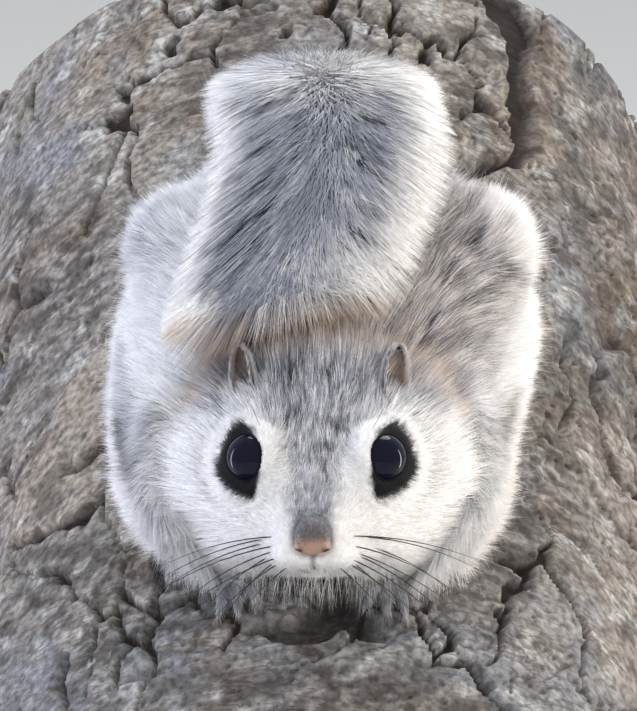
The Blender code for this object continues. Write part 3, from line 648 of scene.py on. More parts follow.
def markings(spots, kinds):
    """Grey, buff and dark for each place: the same for skin and coat."""
    side, back, up = in_head(spots).T
    x, y, z = spots.T
    grain = noise(spots, 5.0, 1)
    streak = 0.10 + 0.30 * smooth(0.35, 0.75, noise(spots * np.array((1, 0.35, 1)), 1.6, 2))
    head = is_kind(kinds, "head")
    stripe = 1 - smooth(0.55, 1.35, np.abs(side + 0.3) / stripe_width(back) + 0.3 * (grain - 0.5))
    crown = smooth(20, 32, back) * smooth(4, 12, up)
    head_grey = np.clip(np.maximum(stripe * smooth(0.5, 4, up + 4), crown * 0.8), 0, 1)
    strength = 0.66 + 0.25 * smooth(5, 1, back) + 0.30 * smooth(14, 26, back)
    # The extra grey towards the animal's right cheek is painted shade.
    grey = np.where(head, head_grey * strength + 0.04 + 0.08 * smooth(2, -12, side), 0.0)
    dark = np.where(head, head_grey * streak * (0.85 + 0.50 * smooth(10, 26, back)), 0.0)
    dark = np.maximum(dark, 0.42 * head_grey * smooth(8, 1, back) * head)
    # The groove under the nose and the line of the mouth are painted dark: painted shade in these creases.
    cleft_shade = bell(side, 0, 0.35) * smooth(-3.0, -3.6, up) * smooth(-6.6, -5.8, up) * smooth(6, 5, back)
    lip_line_shade = bell(up + 0.10 * np.abs(side), -6.3, 0.35) * smooth(3.6, 2.0, np.abs(side)) * smooth(7, 5, back)
    dark = np.maximum(dark, (0.9 * cleft_shade + 0.45 * lip_line_shade) * head)
    mouth = smooth(7, 4, np.abs(side)) * smooth(-2, -4, up) * smooth(9, 5, back)
    nape = smooth(25, 33, back) * smooth(2, 8, up)
    dark = np.where(head, dark * (1 - 0.6 * nape), dark)
    buff = np.where(head, head_grey * 0.10 + 0.66 * nape + 0.16 * mouth, 0.0)
    torso = is_kind(kinds, "torso", "tail_root")
    top = smooth(6, 24, z)
    right_side = smooth(-8, 20, x)
    warm_side = right_side * (1 - 0.6 * smooth(44, 60, y))
    grey = np.where(torso, 0.26 + top * (0.20 + 0.34 * warm_side), grey)
    dark = np.where(torso, streak * (0.35 + 1.5 * warm_side) * top, dark)
    buff = np.where(torso, np.maximum(warm_side * 0.44 * top, nape_share(spots) * 0.62), buff)
    leg, paw = is_kind(kinds, "foreleg"), is_kind(kinds, "paw")
    # More grey on the animal's right foreleg: painted shade.
    grey = np.where(leg, 0.16 + 0.2 * smooth(4, 14, z) + 0.24 * (1 - right_side), grey)
    thigh = is_kind(kinds, "hindleg", "gliding_membrane")
    inward = smooth(34, 21, np.abs(x - 2))
    grey_thigh = 0.16 + (0.26 + 0.20 * warm_side) * smooth(4, 18, z) * (0.15 + 0.85 * inward)
    # Here and two lines on, more grey over the animal's right thigh and membrane: partly their own mottled
    # grey, partly painted shade.
    grey_thigh = grey_thigh + (0.44 + 0.5 * (noise(spots, 9.0, 3) - 0.5)) * (1 - right_side) * smooth(0, 7, z)
    grey_thigh = grey_thigh * (1 - 0.6 * right_side * smooth(44, 60, y))
    grey = np.where(thigh, grey_thigh + 0.10 * (1 - right_side) * smooth(20, 40, y), grey)
    dark = np.where(thigh | leg, streak * (0.25 + 1.25 * warm_side * inward * smooth(5, 12, z)), dark)
    buff = np.where(thigh, 0.05 + warm_side * (0.10 + 0.28 * inward), buff)
    # Painted shade along the folds beside the wrists.
    dark = np.where(head | paw, dark, np.maximum(dark, 0.6 * folds_with_painted_shade(spots)))
    bare_toe = smooth(-14, -16, y) + smooth(76, 79, y)
    # The paws' grey-brown is partly their own colour and partly painted shade, darker on the toes.
    grey = np.where(paw, 0.55 + 0.3 * bare_toe, grey)
    dark = np.where(paw, 0.2 * bare_toe, dark)
    buff = np.where(paw, 0.25 + 0.15 * bare_toe, buff)
    for eye in (LEFT, RIGHT):
        ring = eye_ring(spots, eye) * head
        dark = np.maximum(dark, ring)
        grey = grey * (1 - ring)
    return np.clip(np.stack((grey, buff, dark), axis=1), 0, 1)


# The lie of the coat

def along_skin(ways, normals):
    """Directions laid flat on the skin."""
    return unit(ways - normals * np.sum(ways * normals, axis=1)[:, None])


def lie(spots, normals, labels, kinds):
    """The direction in which the hair lies, along the skin, for each place."""
    side, x, y = in_head(spots)[:, 0], spots[:, 0], spots[:, 1]
    hand = np.where(x - 1 > 0, 1.0, -1.0)
    out = np.abs(x - 1)
    low = smooth(2, 9, -y + 6)[:, None]
    upper_arm = side_by_side(hand * 0.7, -0.6, -0.5)
    cheek = smooth(5, 16, np.abs(side))[:, None] * side_by_side(np.sign(side) * 0.5, 0.0, -0.25)
    ways_of = {
        "head": HEAD_AXES[1] + cheek,
        "torso": side_by_side(hand * 0.55 * smooth(3, 26, out), 1.0, -0.5 * smooth(10, 30, out)),
        "foreleg": (1 - low) * upper_arm + low * side_by_side(-hand * 0.45, -0.85, -0.3),
        "hindleg": side_by_side(hand * 0.4, 0.9, -0.35),
        "gliding_membrane": side_by_side(hand * 0.65, 0.55, -0.5),
        "tail_root": np.array((0, 0.3, 1.0)),
    }
    ways = np.zeros_like(spots)
    for kind, way in ways_of.items():
        ways = np.where(is_kind(kinds, kind)[:, None], way, ways)
    for start, heading in (("forepaw", -1.0), ("hindfoot", 1.0)):
        foot = np.array([BODY[k].startswith(start) for k in labels])
        ways = np.where(foot[:, None], np.array((0, heading, 0)), ways)
    for eye in (LEFT, RIGHT):
        centre = EYES[eye][0]
        past, reach = eye_distance(spots, eye)
        near = (1 - smooth(0.1, 0.9, past)) * (reach < EYE_RADIUS * 2.0) * is_kind(kinds, "head")
        ways = ways + (1.6 * near)[:, None] * unit(spots - centre)
    return along_skin(ways, normals)


# Tufts

def tuft_mesh(name, paths, sides_way, ups_way, widths, masks, uv, soft, softness):
    """Closed three-sided tapered tufts along paths of two or more stations, as one mesh."""
    count, stations = paths.shape[:2]
    thin = np.interp(np.linspace(0, 1, stations), (0, 0.35, 0.75, 1), (0.75, 1.0, 0.62, 0.0))
    rings = []
    for k in range(stations - 1):
        half = (widths * thin[k] * 0.5)[:, None]
        rings.append(paths[:, k] - sides_way * half)
        rings.append(paths[:, k] + sides_way * half)
        rings.append(paths[:, k] + ups_way * half * 0.8)
    rings.append(paths[:, -1])
    points = np.stack(rings, axis=1)
    each = points.shape[1]
    faces = [(0, 2, 1)]
    for k in range(stations - 2):
        for i in range(3):
            a, b = 3 * k + i, 3 * k + (i + 1) % 3
            faces += [(a, b, b + 3), (a, b + 3, a + 3)]
    last = 3 * (stations - 2)
    faces += [(last + i, last + (i + 1) % 3, each - 1) for i in range(3)]
    faces = np.array(faces)[:, ::-1]
    every = (faces[None] + (np.arange(count) * each)[:, None, None]).reshape(-1, 3)
    obj = build_mesh(name, points.reshape(-1, 3), every)
    along = np.append(np.repeat(np.linspace(0, 1, stations)[:-1], 3), 1.0)
    mask = np.empty((count, each, 4))
    mask[:, :, :3] = masks[:, None]
    mask[:, :, 3] = along
    give_mask(obj, "coat_mask", mask.reshape(-1, 4))
    patch = np.stack((np.append(np.tile((-0.5, 0.5, 0.0), stations - 1), 0.0), along - 0.5), axis=1) * 0.003
    give_uv(obj, "OFBake", (uv[:, None] + patch[None]).reshape(-1, 2))
    own = normals_of(obj.data).reshape(count, each, 3)
    mixed = unit(own * (1 - softness) + (soft @ LEAN_TURN.T)[:, None] * softness)
    obj.data.normals_split_custom_set_from_vertices(mixed.reshape(-1, 3))
    return obj


def clumped(tips, roots, lengths, every, share, seed):
    """Tips drawn together in small bunches, as hairs of a coat are."""
    dice = np.random.default_rng(seed)
    heads = dice.choice(len(roots), max(1, len(roots) // every), replace=False)
    tree = kdtree.KDTree(len(heads))
    for number, place in enumerate(roots[heads]):
        tree.insert(Vector(place), number)
    tree.balance()
    nearest = heads[np.array([tree.find(Vector(place))[1] for place in roots])]
    offset = tips[nearest] - tips
    reach = np.linalg.norm(offset, axis=1, keepdims=True)
    offset *= np.minimum(1, 0.5 * lengths[:, None] / np.maximum(reach, 1e-6))
    return tips + share[:, None] * offset, nearest


def sample_skin(skin, seed):
    """Roots for the tufts, with all that the skin knows there."""
    mesh = skin.data
    spots = to_trunk(points_of(mesh))
    normals = normals_of(mesh) @ LEAN_TURN
    edges = edges_of(mesh)
    labels = body_label(points_of(mesh))
    kinds = np.array([KINDS.index(kind_of(BODY[k])) for k in labels])
    head, paw = is_kind(kinds, "head"), is_kind(kinds, "paw")
    ways = unit(spread_over(edges, lie(spots, normals, labels, kinds), 25))
    marks = spread_over(edges, markings(spots, kinds), 2)
    table = np.array([COATS[kind] for kind in KINDS])[kinds]
    side, back, up = in_head(spots).T
    y, out = spots[:, 1], np.abs(side)
    face = np.interp(back, (0, 4, 9, 15, 22, 32), (0.22, 0.32, 0.5, 0.72, 0.95, 1.25))
    under_chin = smooth(-7.5, -10, up) * smooth(15, 11, out) * smooth(20, 14, back)
    ruff = smooth(-7, -13, up) * smooth(3, 10, back) * (1 - under_chin)
    longer = 1 + 0.25 * smooth(12, 20, out) + 0.9 * ruff
    length = table[:, 1] * np.where(head, face * longer, 1.0)
    width = np.where(head, table[:, 2] * np.clip(0.45 + 0.55 * face, 0.5, 1.1), table[:, 2])
    thick = np.where(head, table[:, 3] * np.interp(back, (0, 10, 24), (1.9, 1.4, 1.0)), table[:, 3])
    length = spread_over(edges, length, 15)
    length = length * (1 + 0.5 * is_kind(kinds, "foreleg") * smooth(4, -4, y))
    length = length * (1 + 0.4 * nape_share(spots)) * (1 - 0.45 * under_chin * head)
    length = length * (1 - 0.35 * folds_with_painted_shade(spots)) * (1 + 0.6 * head * smooth(13, 18, out) * smooth(9, 2, up))
    for ear in (LEFT, RIGHT):
        inside, before = ear_hollow(spots, ear)
        length = length * (1 - 0.55 * before)
        thick = thick * (1 - inside)
    width = width * (1 - 0.35 * ruff * head)
    thick = thick * (1 + 0.6 * ruff * head)
    fore_length = np.interp(y, (-18.5, -16, -12), (2.6, 4.5, 6.5))
    hind_length = np.interp(y, (72, 77, 84), (4.5, 2.4, 1.2))
    length = np.where(paw, np.where(y < 0, fore_length, hind_length), length)
    width = np.where(paw, 0.09 + 0.02 * length, width)
    bare = np.zeros(len(spots), bool)
    for eye in (LEFT, RIGHT):
        past, reach = eye_distance(spots, eye)
        bare |= (past < 0.0) & (reach < EYE_RADIUS * 1.7)
        rim = (past < 0.7) & (reach < EYE_RADIUS * 2) & head
        length = np.where(rim, np.minimum(length, 0.8 + 2.4 * np.clip(past, 0, 1)), length)
        thick = np.where(rim, thick * (2.4 - 2.0 * np.clip(past, 0, 0.7)), thick)
        width = np.where(rim, width * (0.7 + 0.4 * np.clip(past, 0, 0.7)), width)
    bare |= np.linalg.norm((in_head(spots) - NOSE_MIDDLE) / NOSE_HALF, axis=1) < 1.0
    give_mask(skin, "coat_mask", np.column_stack((marks, np.full(len(marks), 0.35))))
    triangles = triangles_of(mesh)
    first, second, third = spots[triangles].transpose(1, 0, 2)
    area = 0.5 * np.linalg.norm(np.cross(second - first, third - first), axis=1)
    facing = normals[triangles].mean(axis=1)[:, 2]
    hidden = 0.12 + 0.88 * smooth(-0.75, -0.25, facing)
    pads = paw[triangles[:, 0]] & (facing < 0.15)
    weight = area * thick[triangles].mean(axis=1) * hidden * ~bare[triangles].any(axis=1) * ~pads
    dice = np.random.default_rng(seed)
    total = int(weight.sum())
    chosen = dice.choice(len(triangles), total, p=weight / weight.sum())
    spread = dice.random((total, 2))
    fold = spread.sum(axis=1) > 1
    spread[fold] = 1 - spread[fold]
    shares = np.column_stack((1 - spread.sum(axis=1), spread))[:, :, None]

    def read(values):
        flat = values.reshape(len(values), -1)
        return (flat[triangles[chosen]] * shares).sum(axis=1).reshape((total,) + values.shape[1:])

    return {
        "roots": read(spots), "normals": unit(read(normals)), "ways": unit(read(ways)), "marks": read(marks),
        "lengths": read(length), "widths": read(width), "kinds": kinds[triangles[chosen][:, 0]],
    }


def coat_paths(hair, seed):
    """Each tuft rises a little from the skin along the lie and is drawn to its bunch."""
    dice = np.random.default_rng(seed)
    count = len(hair["roots"])
    ways, normals = hair["ways"], hair["normals"]
    across = unit(np.cross(ways, normals))
    swing = dice.normal(0, 0.20, count)[:, None]
    swing += 0.8 * (noise(hair["roots"], 3.5, 11) - 0.5)[:, None]
    ways = unit(ways + across * swing)
    guard = (dice.random(count) < GUARD_SHARE) & (hair["lengths"] > 3.5)
    lengths = hair["lengths"] * dice.uniform(0.7, 1.15, count) * np.where(guard, 1.3, 1.0)
    rise = np.radians(dice.uniform(14, 36, count) + 26 * nape_share(hair["roots"]) + 8 * guard)[:, None]
    side, back, up = in_head(hair["roots"]).T
    chin = (up < -6.5) & (np.abs(side) < 13) & (back < 15) & is_kind(hair["kinds"], "head")
    chin &= dice.random(count) < CHIN_SHARE
    hanging = unit(np.array(CHIN_WAY) + dice.normal(0, 0.16, (count, 3)))
    ways = np.where(chin[:, None], hanging, ways)
    lengths = np.where(chin, dice.uniform(4.0, 8.0, count), lengths)
    rise = np.where(chin[:, None], 0, rise)
    tips = hair["roots"] + (ways * np.cos(rise) + normals * np.sin(rise)) * lengths[:, None]
    share = dice.uniform(0.15, 0.6, count) * smooth(1.0, 4.0, lengths) * ~(guard | chin)
    hair["widths"] = np.where(guard | chin, hair["widths"] * 0.6, hair["widths"])
    hair["normals"] = np.where(chin[:, None], unit(np.array((0, -0.7, 0.7))), normals)
    tips, heads = clumped(tips, hair["roots"], lengths, 8, share, seed)
    paths = np.stack((hair["roots"] - normals * 0.25, tips), axis=1)
    sides_way = unit(np.cross(ways, normals))
    ups_way = unit(np.cross(sides_way, ways))
    return paths, sides_way, ups_way, heads


def unwrap(spots, low, high):
    """A place on an unwrap of the skin: round the body's long axis, and along it."""
    turn = np.arctan2(spots[:, 0] - 1, spots[:, 2] - 9) / (2 * math.pi) + 0.5
    along = (spots[:, 1] - low) / max(high - low, 1e-6)
    return np.column_stack((0.02 + 0.96 * turn, 0.02 + 0.96 * along))


PIECE_TRIANGLES = 190000
# Triangles in a tuft of two stations, and in one of three
SHORT_TUFT_FACES = 4
LONG_TUFT_FACES = 10


def make_body_coat(skin, material):
    hair = sample_skin(skin, 5)
    paths, sides_way, ups_way, heads = coat_paths(hair, 6)
    dice = np.random.default_rng(9)
    count = len(paths)
    bunch = dice.normal(0, 1, count)[heads]
    marks = hair["marks"].copy()
    marks[:, 0] = np.clip(marks[:, 0] * (1 + 0.28 * bunch + dice.normal(0, 0.2, count)), 0, 1)
    ringed = marks[:, 2] > 0.9
    marks[:, 2] = np.clip(marks[:, 2] * np.clip(1 + 1.3 * bunch + dice.normal(0, 0.3, count), 0, 4), 0, 0.9)
    # Painted shade along the folds, in the tufts as well.
    marks[:, 2] = np.maximum(marks[:, 2], folds_with_painted_shade(paths[:, 1]) * dice.uniform(0.7, 1.0, count))
    marks[ringed, 2] = 1
    marks[:, 1] = np.clip(marks[:, 1] * (1 + 0.3 * dice.normal(0, 1, count)), 0, 1)
    head, torso = is_kind(hair["kinds"], "head"), is_kind(hair["kinds"], "torso", "tail_root")
    for word, member in (("head", head), ("body", torso), ("flanks", ~head & ~torso)):
        chosen = np.flatnonzero(member)
        chosen = chosen[np.argsort(hair["roots"][chosen, 1])]
        pieces = math.ceil(len(chosen) * SHORT_TUFT_FACES / PIECE_TRIANGLES)
        for number, part in enumerate(np.array_split(chosen, pieces)):
            spots = hair["roots"][part]
            uv = unwrap(spots, spots[:, 1].min(), spots[:, 1].max())
            coat = tuft_mesh(
                f"coat_{word}_{number + 1}", paths[part], sides_way[part], ups_way[part],
                hair["widths"][part], marks[part], uv, hair["normals"][part], 0.7,
            )
            finish_piece(coat, material, "coat")


# The tail

# Each row: sideways shift, distance up the bark, height, half width and half thickness, to the coat's tips
TAIL_STATIONS = (
    (1.8, 69.5, 11.5, 7.0, 4.8),
    (1.6, 77.0, 16.0, 12.0, 5.0),
    (1.4, 79.5, 26.0, 20.0, 4.9),
    (1.3, 75.0, 34.8, 21.8, 4.8),
    (2.0, 65.5, 40.0, 21.6, 4.8),
    (2.9, 54.0, 41.8, 21.2, 4.8),
    (1.6, 42.0, 41.0, 20.8, 4.6),
    (-1.4, 31.0, 38.6, 20.4, 4.2),
    (-4.6, 20.5, 36.0, 20.0, 3.4),
    (-6.0, 12.0, 34.4, 18.6, 1.6),
)
TAIL_DROOP = 3.0
# Where the tail turns over the rump: there its edges don't droop, and its hair stands straight out
CREST_SHARE = 0.33
CREST_REACH = 0.16
TAIL_SKEW = 0.26
TAIL_WIDTH = 43.0
CORE_WIDTH = 0.42
CORE_DEPTH = 0.42
CORE_END = 0.86
TAIL_TUFTS = 60000
FRINGE_DROP = 7.5


def curve_through(rows, count):
    """A smooth curve through rows of numbers, read at evenly spaced places."""
    rows = np.array(rows, float)
    slopes = np.gradient(rows, axis=0)
    place = np.linspace(0, len(rows) - 1, count)
    low = np.minimum(place.astype(int), len(rows) - 2)
    t = (place - low)[:, None]
    return (
        (2 * t**3 - 3 * t**2 + 1) * rows[low] + (t**3 - 2 * t**2 + t) * slopes[low]
        + (3 * t**2 - 2 * t**3) * rows[low + 1] + (t**3 - t**2) * slopes[low + 1]
    )


def crest_calm(share):
    """Nothing at the crest, and one from a little way off."""
    return np.interp(np.abs(share - CREST_SHARE), (0, CREST_REACH), (0, 1))


class TailCourse:
    """The tail's lie: places are read by share of its length, of its half width and of its depth."""

    def __init__(self, count=121):
        rows = curve_through(TAIL_STATIONS, count)
        self.shares = np.linspace(0, 1, count)
        self.path, self.half, self.deep = rows[:, :3], rows[:, 3], rows[:, 4]
        self.tangents = unit(np.gradient(self.path, axis=0))
        skew = TAIL_SKEW * np.clip((self.shares - 0.4) / 0.6, 0, None)
        self.sides = np.array((-1.0, 0, 0)) + self.tangents * skew[:, None]
        self.ups = unit(np.cross(self.sides, self.tangents))
        self.length = np.linalg.norm(np.diff(self.path, axis=0), axis=1).sum()

    def read(self, values, share):
        if values.ndim == 1:
            return np.interp(share, self.shares, values)
        return np.stack([np.interp(share, self.shares, values[:, k]) for k in range(3)], axis=-1)

    def place(self, share, across, rise):
        half = self.read(self.half, share)
        droop = TAIL_DROOP * half / (TAIL_WIDTH / 2) * across**2 * crest_calm(share)
        beyond = np.clip(share - 1, 0, None) * self.length
        return (
            self.read(self.path, share)
            + self.read(self.tangents, share) * beyond[..., None]
            + self.read(self.sides, share) * (across * half)[..., None]
            + self.read(self.ups, share) * (rise * self.read(self.deep, share) - droop)[..., None]
        )


def tail_marks(share, across, spots, bunch):
    """Grey, buff and dark along the tail: grey in the middle, pale at the edges and buff at the fringe."""
    lump = noise(spots, 7.0, 22)
    out = np.abs(across) * (1 - 0.13 * smooth(-0.2, 0.3, across))
    middle = 1 - smooth(0.62, 0.92, out)
    fringe = smooth(0.945, 0.975, share)
    # The crest's grey and dark streaks are lightened: painted light from above on the standing hair.
    crest = bell(share, CREST_SHARE + 0.07, 0.09)
    pale = smooth(0.80, 0.92, share) * 0.46 * smooth(0.2, -0.6, across)
    grey = (1.0 + 0.45 * (lump - 0.5)) * (0.10 + 0.90 * middle) * (1 - pale)
    grey = grey * (1 + 0.22 * bunch) * (1 - 0.75 * crest)
    streak = smooth(0.75, 1.2, bunch + 1.3 * (lump - 0.5)) * (1 - 0.8 * crest)
    buff = fringe * (0.95 + 0.2 * bunch) + 0.10 * smooth(0.6, 0.95, out) * smooth(0.35, 0.6, share)
    dark = streak * (0.15 + 0.62 * smooth(0.10, 0.40, out)) * (1 - smooth(0.70, 0.92, out))
    dark = dark * smooth(0.93, 0.86, share)
    dark = dark + 0.22 * middle * smooth(0.42, 0.50, share) * smooth(0.93, 0.82, share)
    return np.clip(np.stack((grey, buff, dark), axis=1), 0, 1)


def make_tail(material, skin_finish):
    """The flat brush: a slim core, and long hairs parted along its middle that sweep out and on to the tip."""
    course = TailCourse()
    rows, sides = 60, 20
    turn = 2 * math.pi * np.arange(sides) / sides
    core = []
    for share in np.linspace(0.0, CORE_END, rows):
        taper = math.sqrt(max(0.05, 1 - max(0, (share / CORE_END - 0.8) / 0.2) ** 2))
        across, rise = CORE_WIDTH * taper * np.cos(turn), CORE_DEPTH * taper * np.sin(turn)
        core.append(course.place(np.full(sides, share), across, rise))
    points = np.concatenate(core + [core[0].mean(axis=0)[None], core[-1].mean(axis=0)[None]])
    faces = tube_faces(rows, sides)
    faces += fan_faces(0, sides, rows * sides) + fan_faces((rows - 1) * sides, sides, rows * sides + 1)
    solid = recalculate(build_mesh("tail_core", points, faces))
    share = np.clip((np.arange(len(points)) // sides) / rows * CORE_END, 0, CORE_END)
    still = np.zeros(len(points))
    give_mask(solid, "coat_mask", np.column_stack((tail_marks(share, still, points, still), still + 0.3)))
    finish_piece(solid, skin_finish, "coat")
    dice = np.random.default_rng(31)
    count = TAIL_TUFTS
    start = dice.random(count) ** 0.8 * 0.9
    hand = np.where(dice.random(count) < 0.5, 1.0, -1.0)
    inner = dice.random(count)
    upper = np.where(dice.random(count) < 0.64, 1.0, -1.0)
    root_across = hand * inner * CORE_WIDTH * 0.92
    root_rise = upper * CORE_DEPTH * np.sqrt(1 - (inner * 0.92) ** 2) * 0.8
    calm = crest_calm(start)
    toward = hand * inner
    lower = 0.045 * bell(toward, 0.25, 0.4) - 0.055 * smooth(0.5, 0.95, toward)
    long = np.where(dice.random(count) < 0.03, 1.6, 1.0)
    reach = dice.uniform(0.085, 0.145, count) * (0.3 + 0.7 * calm)
    reach = reach * np.interp(start, (0, 0.3, 0.5, 0.7, 0.9), (0.7, 0.30, 0.42, 0.75, 1.05))
    end = start + reach
    over = np.clip(end - lower - dice.uniform(0.915, 0.995, count), 0, None)
    end = end - over
    stray = 0.08 + 0.14 * (1 - calm) + 0.26 * (1 - inner) ** 2 + 0.07 * smooth(0.84, 0.94, end - lower)
    stray = stray * dice.normal(0, 1, count)
    limit = 1.06 - (0.04 + 0.16 * dice.random(count)) * (1 - calm)
    tip_across = np.clip(hand * (0.04 + 1.0 * inner**0.9) + stray, -limit, limit)
    tip_rise = upper * np.sqrt(np.clip(1 - 0.98 * tip_across**2, 0.01, 1)) * dice.uniform(0.75, 1.1, count)
    tip_rise = tip_rise * (1 + 0.8 * (1 - calm)) * long
    paths = []
    for step in (0.0, 0.5, 1.0):
        ease = step ** 0.85
        paths.append(course.place(
            start + (end - start) * step,
            root_across + (tip_across - root_across) * ease,
            root_rise + (tip_rise - root_rise) * ease + upper * 0.5 * step * (1 - step) * 2,
        ))
    paths = np.stack(paths, axis=1)
    drop = FRINGE_DROP * smooth(0.86, 0.97, end - lower) * (1 - 0.5 * smooth(0.4, 0.9, toward))
    paths[:, 2] -= course.read(course.ups, end) * (drop * dice.uniform(0.5, 1.1, count))[:, None]
    lengths = np.linalg.norm(paths[:, -1] - paths[:, 0], axis=1)
    tips, heads = clumped(paths[:, -1], paths[:, 1], lengths, 10, dice.uniform(0.05, 0.45, count), 33)
    move = tips - paths[:, -1]
    paths[:, 2] = tips
    paths[:, 1] += 0.35 * move
    ways = unit(paths[:, -1] - paths[:, 0])
    ups = course.read(course.ups, start) * upper[:, None]
    outward = unit(ups + course.read(course.sides, start) * (0.6 * tip_across)[:, None])
    sides_way = unit(np.cross(ways, outward))
    ups_way = unit(np.cross(sides_way, ways))
    bunch = dice.normal(0, 1, count)[heads]
    marks = tail_marks(end - lower, tip_across, paths[:, 1], bunch)
    marks[:, 2] = np.maximum(marks[:, 2], 0.85 * (long > 1) * (1 - calm))
    uv_across = 0.25 + 0.23 * tip_across + np.where(upper < 0, 0.5, 0)
    uv = np.column_stack((uv_across, 0.02 + 0.96 * np.clip(start / 1.02, 0, 1)))
    widths = dice.uniform(0.13, 0.24, count) / long * (1 - 0.45 * smooth(0.85, 0.95, end))
    order = np.argsort(start)
    pieces = math.ceil(count * LONG_TUFT_FACES / PIECE_TRIANGLES)
    for number, part in enumerate(np.array_split(order, pieces)):
        coat = tuft_mesh(
            f"coat_tail_{number + 1}", paths[part], sides_way[part], ups_way[part],
            widths[part], marks[part], uv[part], outward[part], 0.7,
        )
        finish_piece(coat, material, "coat")
    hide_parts("tail_brush")


# Eyes, lids, nose, ears, claws and whiskers

def eye_material():
    material, tree, shader = new_material("wet_eye", Roughness=0.04, IOR=1.38, Specular_IOR_Level=0.2)
    depth = noise_texture(tree, object_place(tree), 400.0)
    colour = mix_colour(tree, depth.outputs[0], (0.0020, 0.0026, 0.008), (0.0035, 0.0045, 0.013))
    tree.links.new(colour, shader.inputs["Base Color"])
    return material


def lid_material():
    material, tree, shader = new_material("lid_skin", Roughness=0.6, Specular_IOR_Level=0.06)
    grain = noise_texture(tree, object_place(tree), 3000.0).outputs[0]
    colour = mix_colour(tree, grain, (0.003, 0.003, 0.003), (0.008, 0.007, 0.007))
    dress(tree, shader, colour, bumped(tree, 0.4, 0.0001, grain))
    return material


EYE_SEGMENTS = 48
EYE_RINGS = 23
LID_SEGMENTS = 72
RIM_WIDTH = 0.26
RIM_HEIGHT = 0.17


def make_eyes():
    """Wet round eyes under the lids' rims."""
    finish, rim_finish = eye_material(), lid_material()
    for side in (LEFT, RIGHT):
        word = SIDE_NAMES[side]
        centre, look, along, across = EYES[side]
        turns = np.linspace(0, 2 * math.pi, EYE_SEGMENTS, endpoint=False)
        points = []
        for tilt in np.linspace(0, math.pi, EYE_RINGS + 2)[1:-1]:
            bulge = EYE_RADIUS * (1 + 0.04 * max(0, math.cos(tilt)) ** 2)
            for turn in turns:
                way = along * math.cos(turn) + across * math.sin(turn)
                points.append(centre + (look * math.cos(tilt) + way * math.sin(tilt)) * bulge)
        front = len(points)
        points += [centre + look * EYE_RADIUS * 1.04, centre - look * EYE_RADIUS]
        faces = tube_faces(EYE_RINGS, EYE_SEGMENTS) + fan_faces(0, EYE_SEGMENTS, front)
        faces += fan_faces(front - EYE_SEGMENTS, EYE_SEGMENTS, front + 1)
        ball = recalculate(build_mesh(f"eyeball_{word}", points, faces))
        finish_piece(ball, finish, "eye", f"eye_{word}")
        ways = []
        for turn in np.linspace(0, 2 * math.pi, LID_SEGMENTS, endpoint=False):
            tilt = lid_opening(turn, side)
            way = along * math.cos(turn) + across * math.sin(turn)
            ways.append(look * math.cos(tilt) + way * math.sin(tilt))
        path = centre + np.array(ways) * (EYE_RADIUS + 0.1)
        rim = closed_band(f"lid_rim_{word}", path, np.array(ways), RIM_WIDTH, RIM_HEIGHT)
        finish_piece(rim, rim_finish, "bare_skin")


def closed_band(name, path, ups, half_width, half_height, sides=10):
    """A rounded band round a closed path."""
    tangents = unit(np.roll(path, -1, axis=0) - np.roll(path, 1, axis=0))
    sideways = unit(np.cross(tangents, ups))
    points = []
    for turn in 2 * math.pi * np.arange(sides) / sides:
        points.append(path + sideways * math.cos(turn) * half_width + ups * math.sin(turn) * half_height)
    points = np.stack(points, axis=1).reshape(-1, 3)
    return recalculate(build_mesh(name, points, tube_faces(len(path), sides, closed=True)))


def nose_material():
    material, tree, shader = new_material("nose_pad", Roughness=0.42, Specular_IOR_Level=0.45)
    place = object_place(tree)
    mask = add_node(tree, "ShaderNodeAttribute", attribute_name="top_shade")
    pebbles = add_node(tree, "ShaderNodeTexVoronoi", (("Vector", place), ("Scale", 2600.0)))
    blotch = noise_texture(tree, place, 500.0)
    colour = mix_colour(tree, blotch.outputs[0], (0.20, 0.118, 0.088), (0.30, 0.19, 0.145))
    # Darker where top_shade says: the pad's own darker top, and painted shade in the nostrils.
    colour = mix_colour(tree, mask.outputs["Fac"], colour, (0.060, 0.046, 0.043))
    dress(tree, shader, colour, bumped(tree, 0.45, 0.00012, pebbles.outputs[0]))
    return material


NOSE_HAIRS = 2600
NOSE_VOXEL = 0.16 * MM


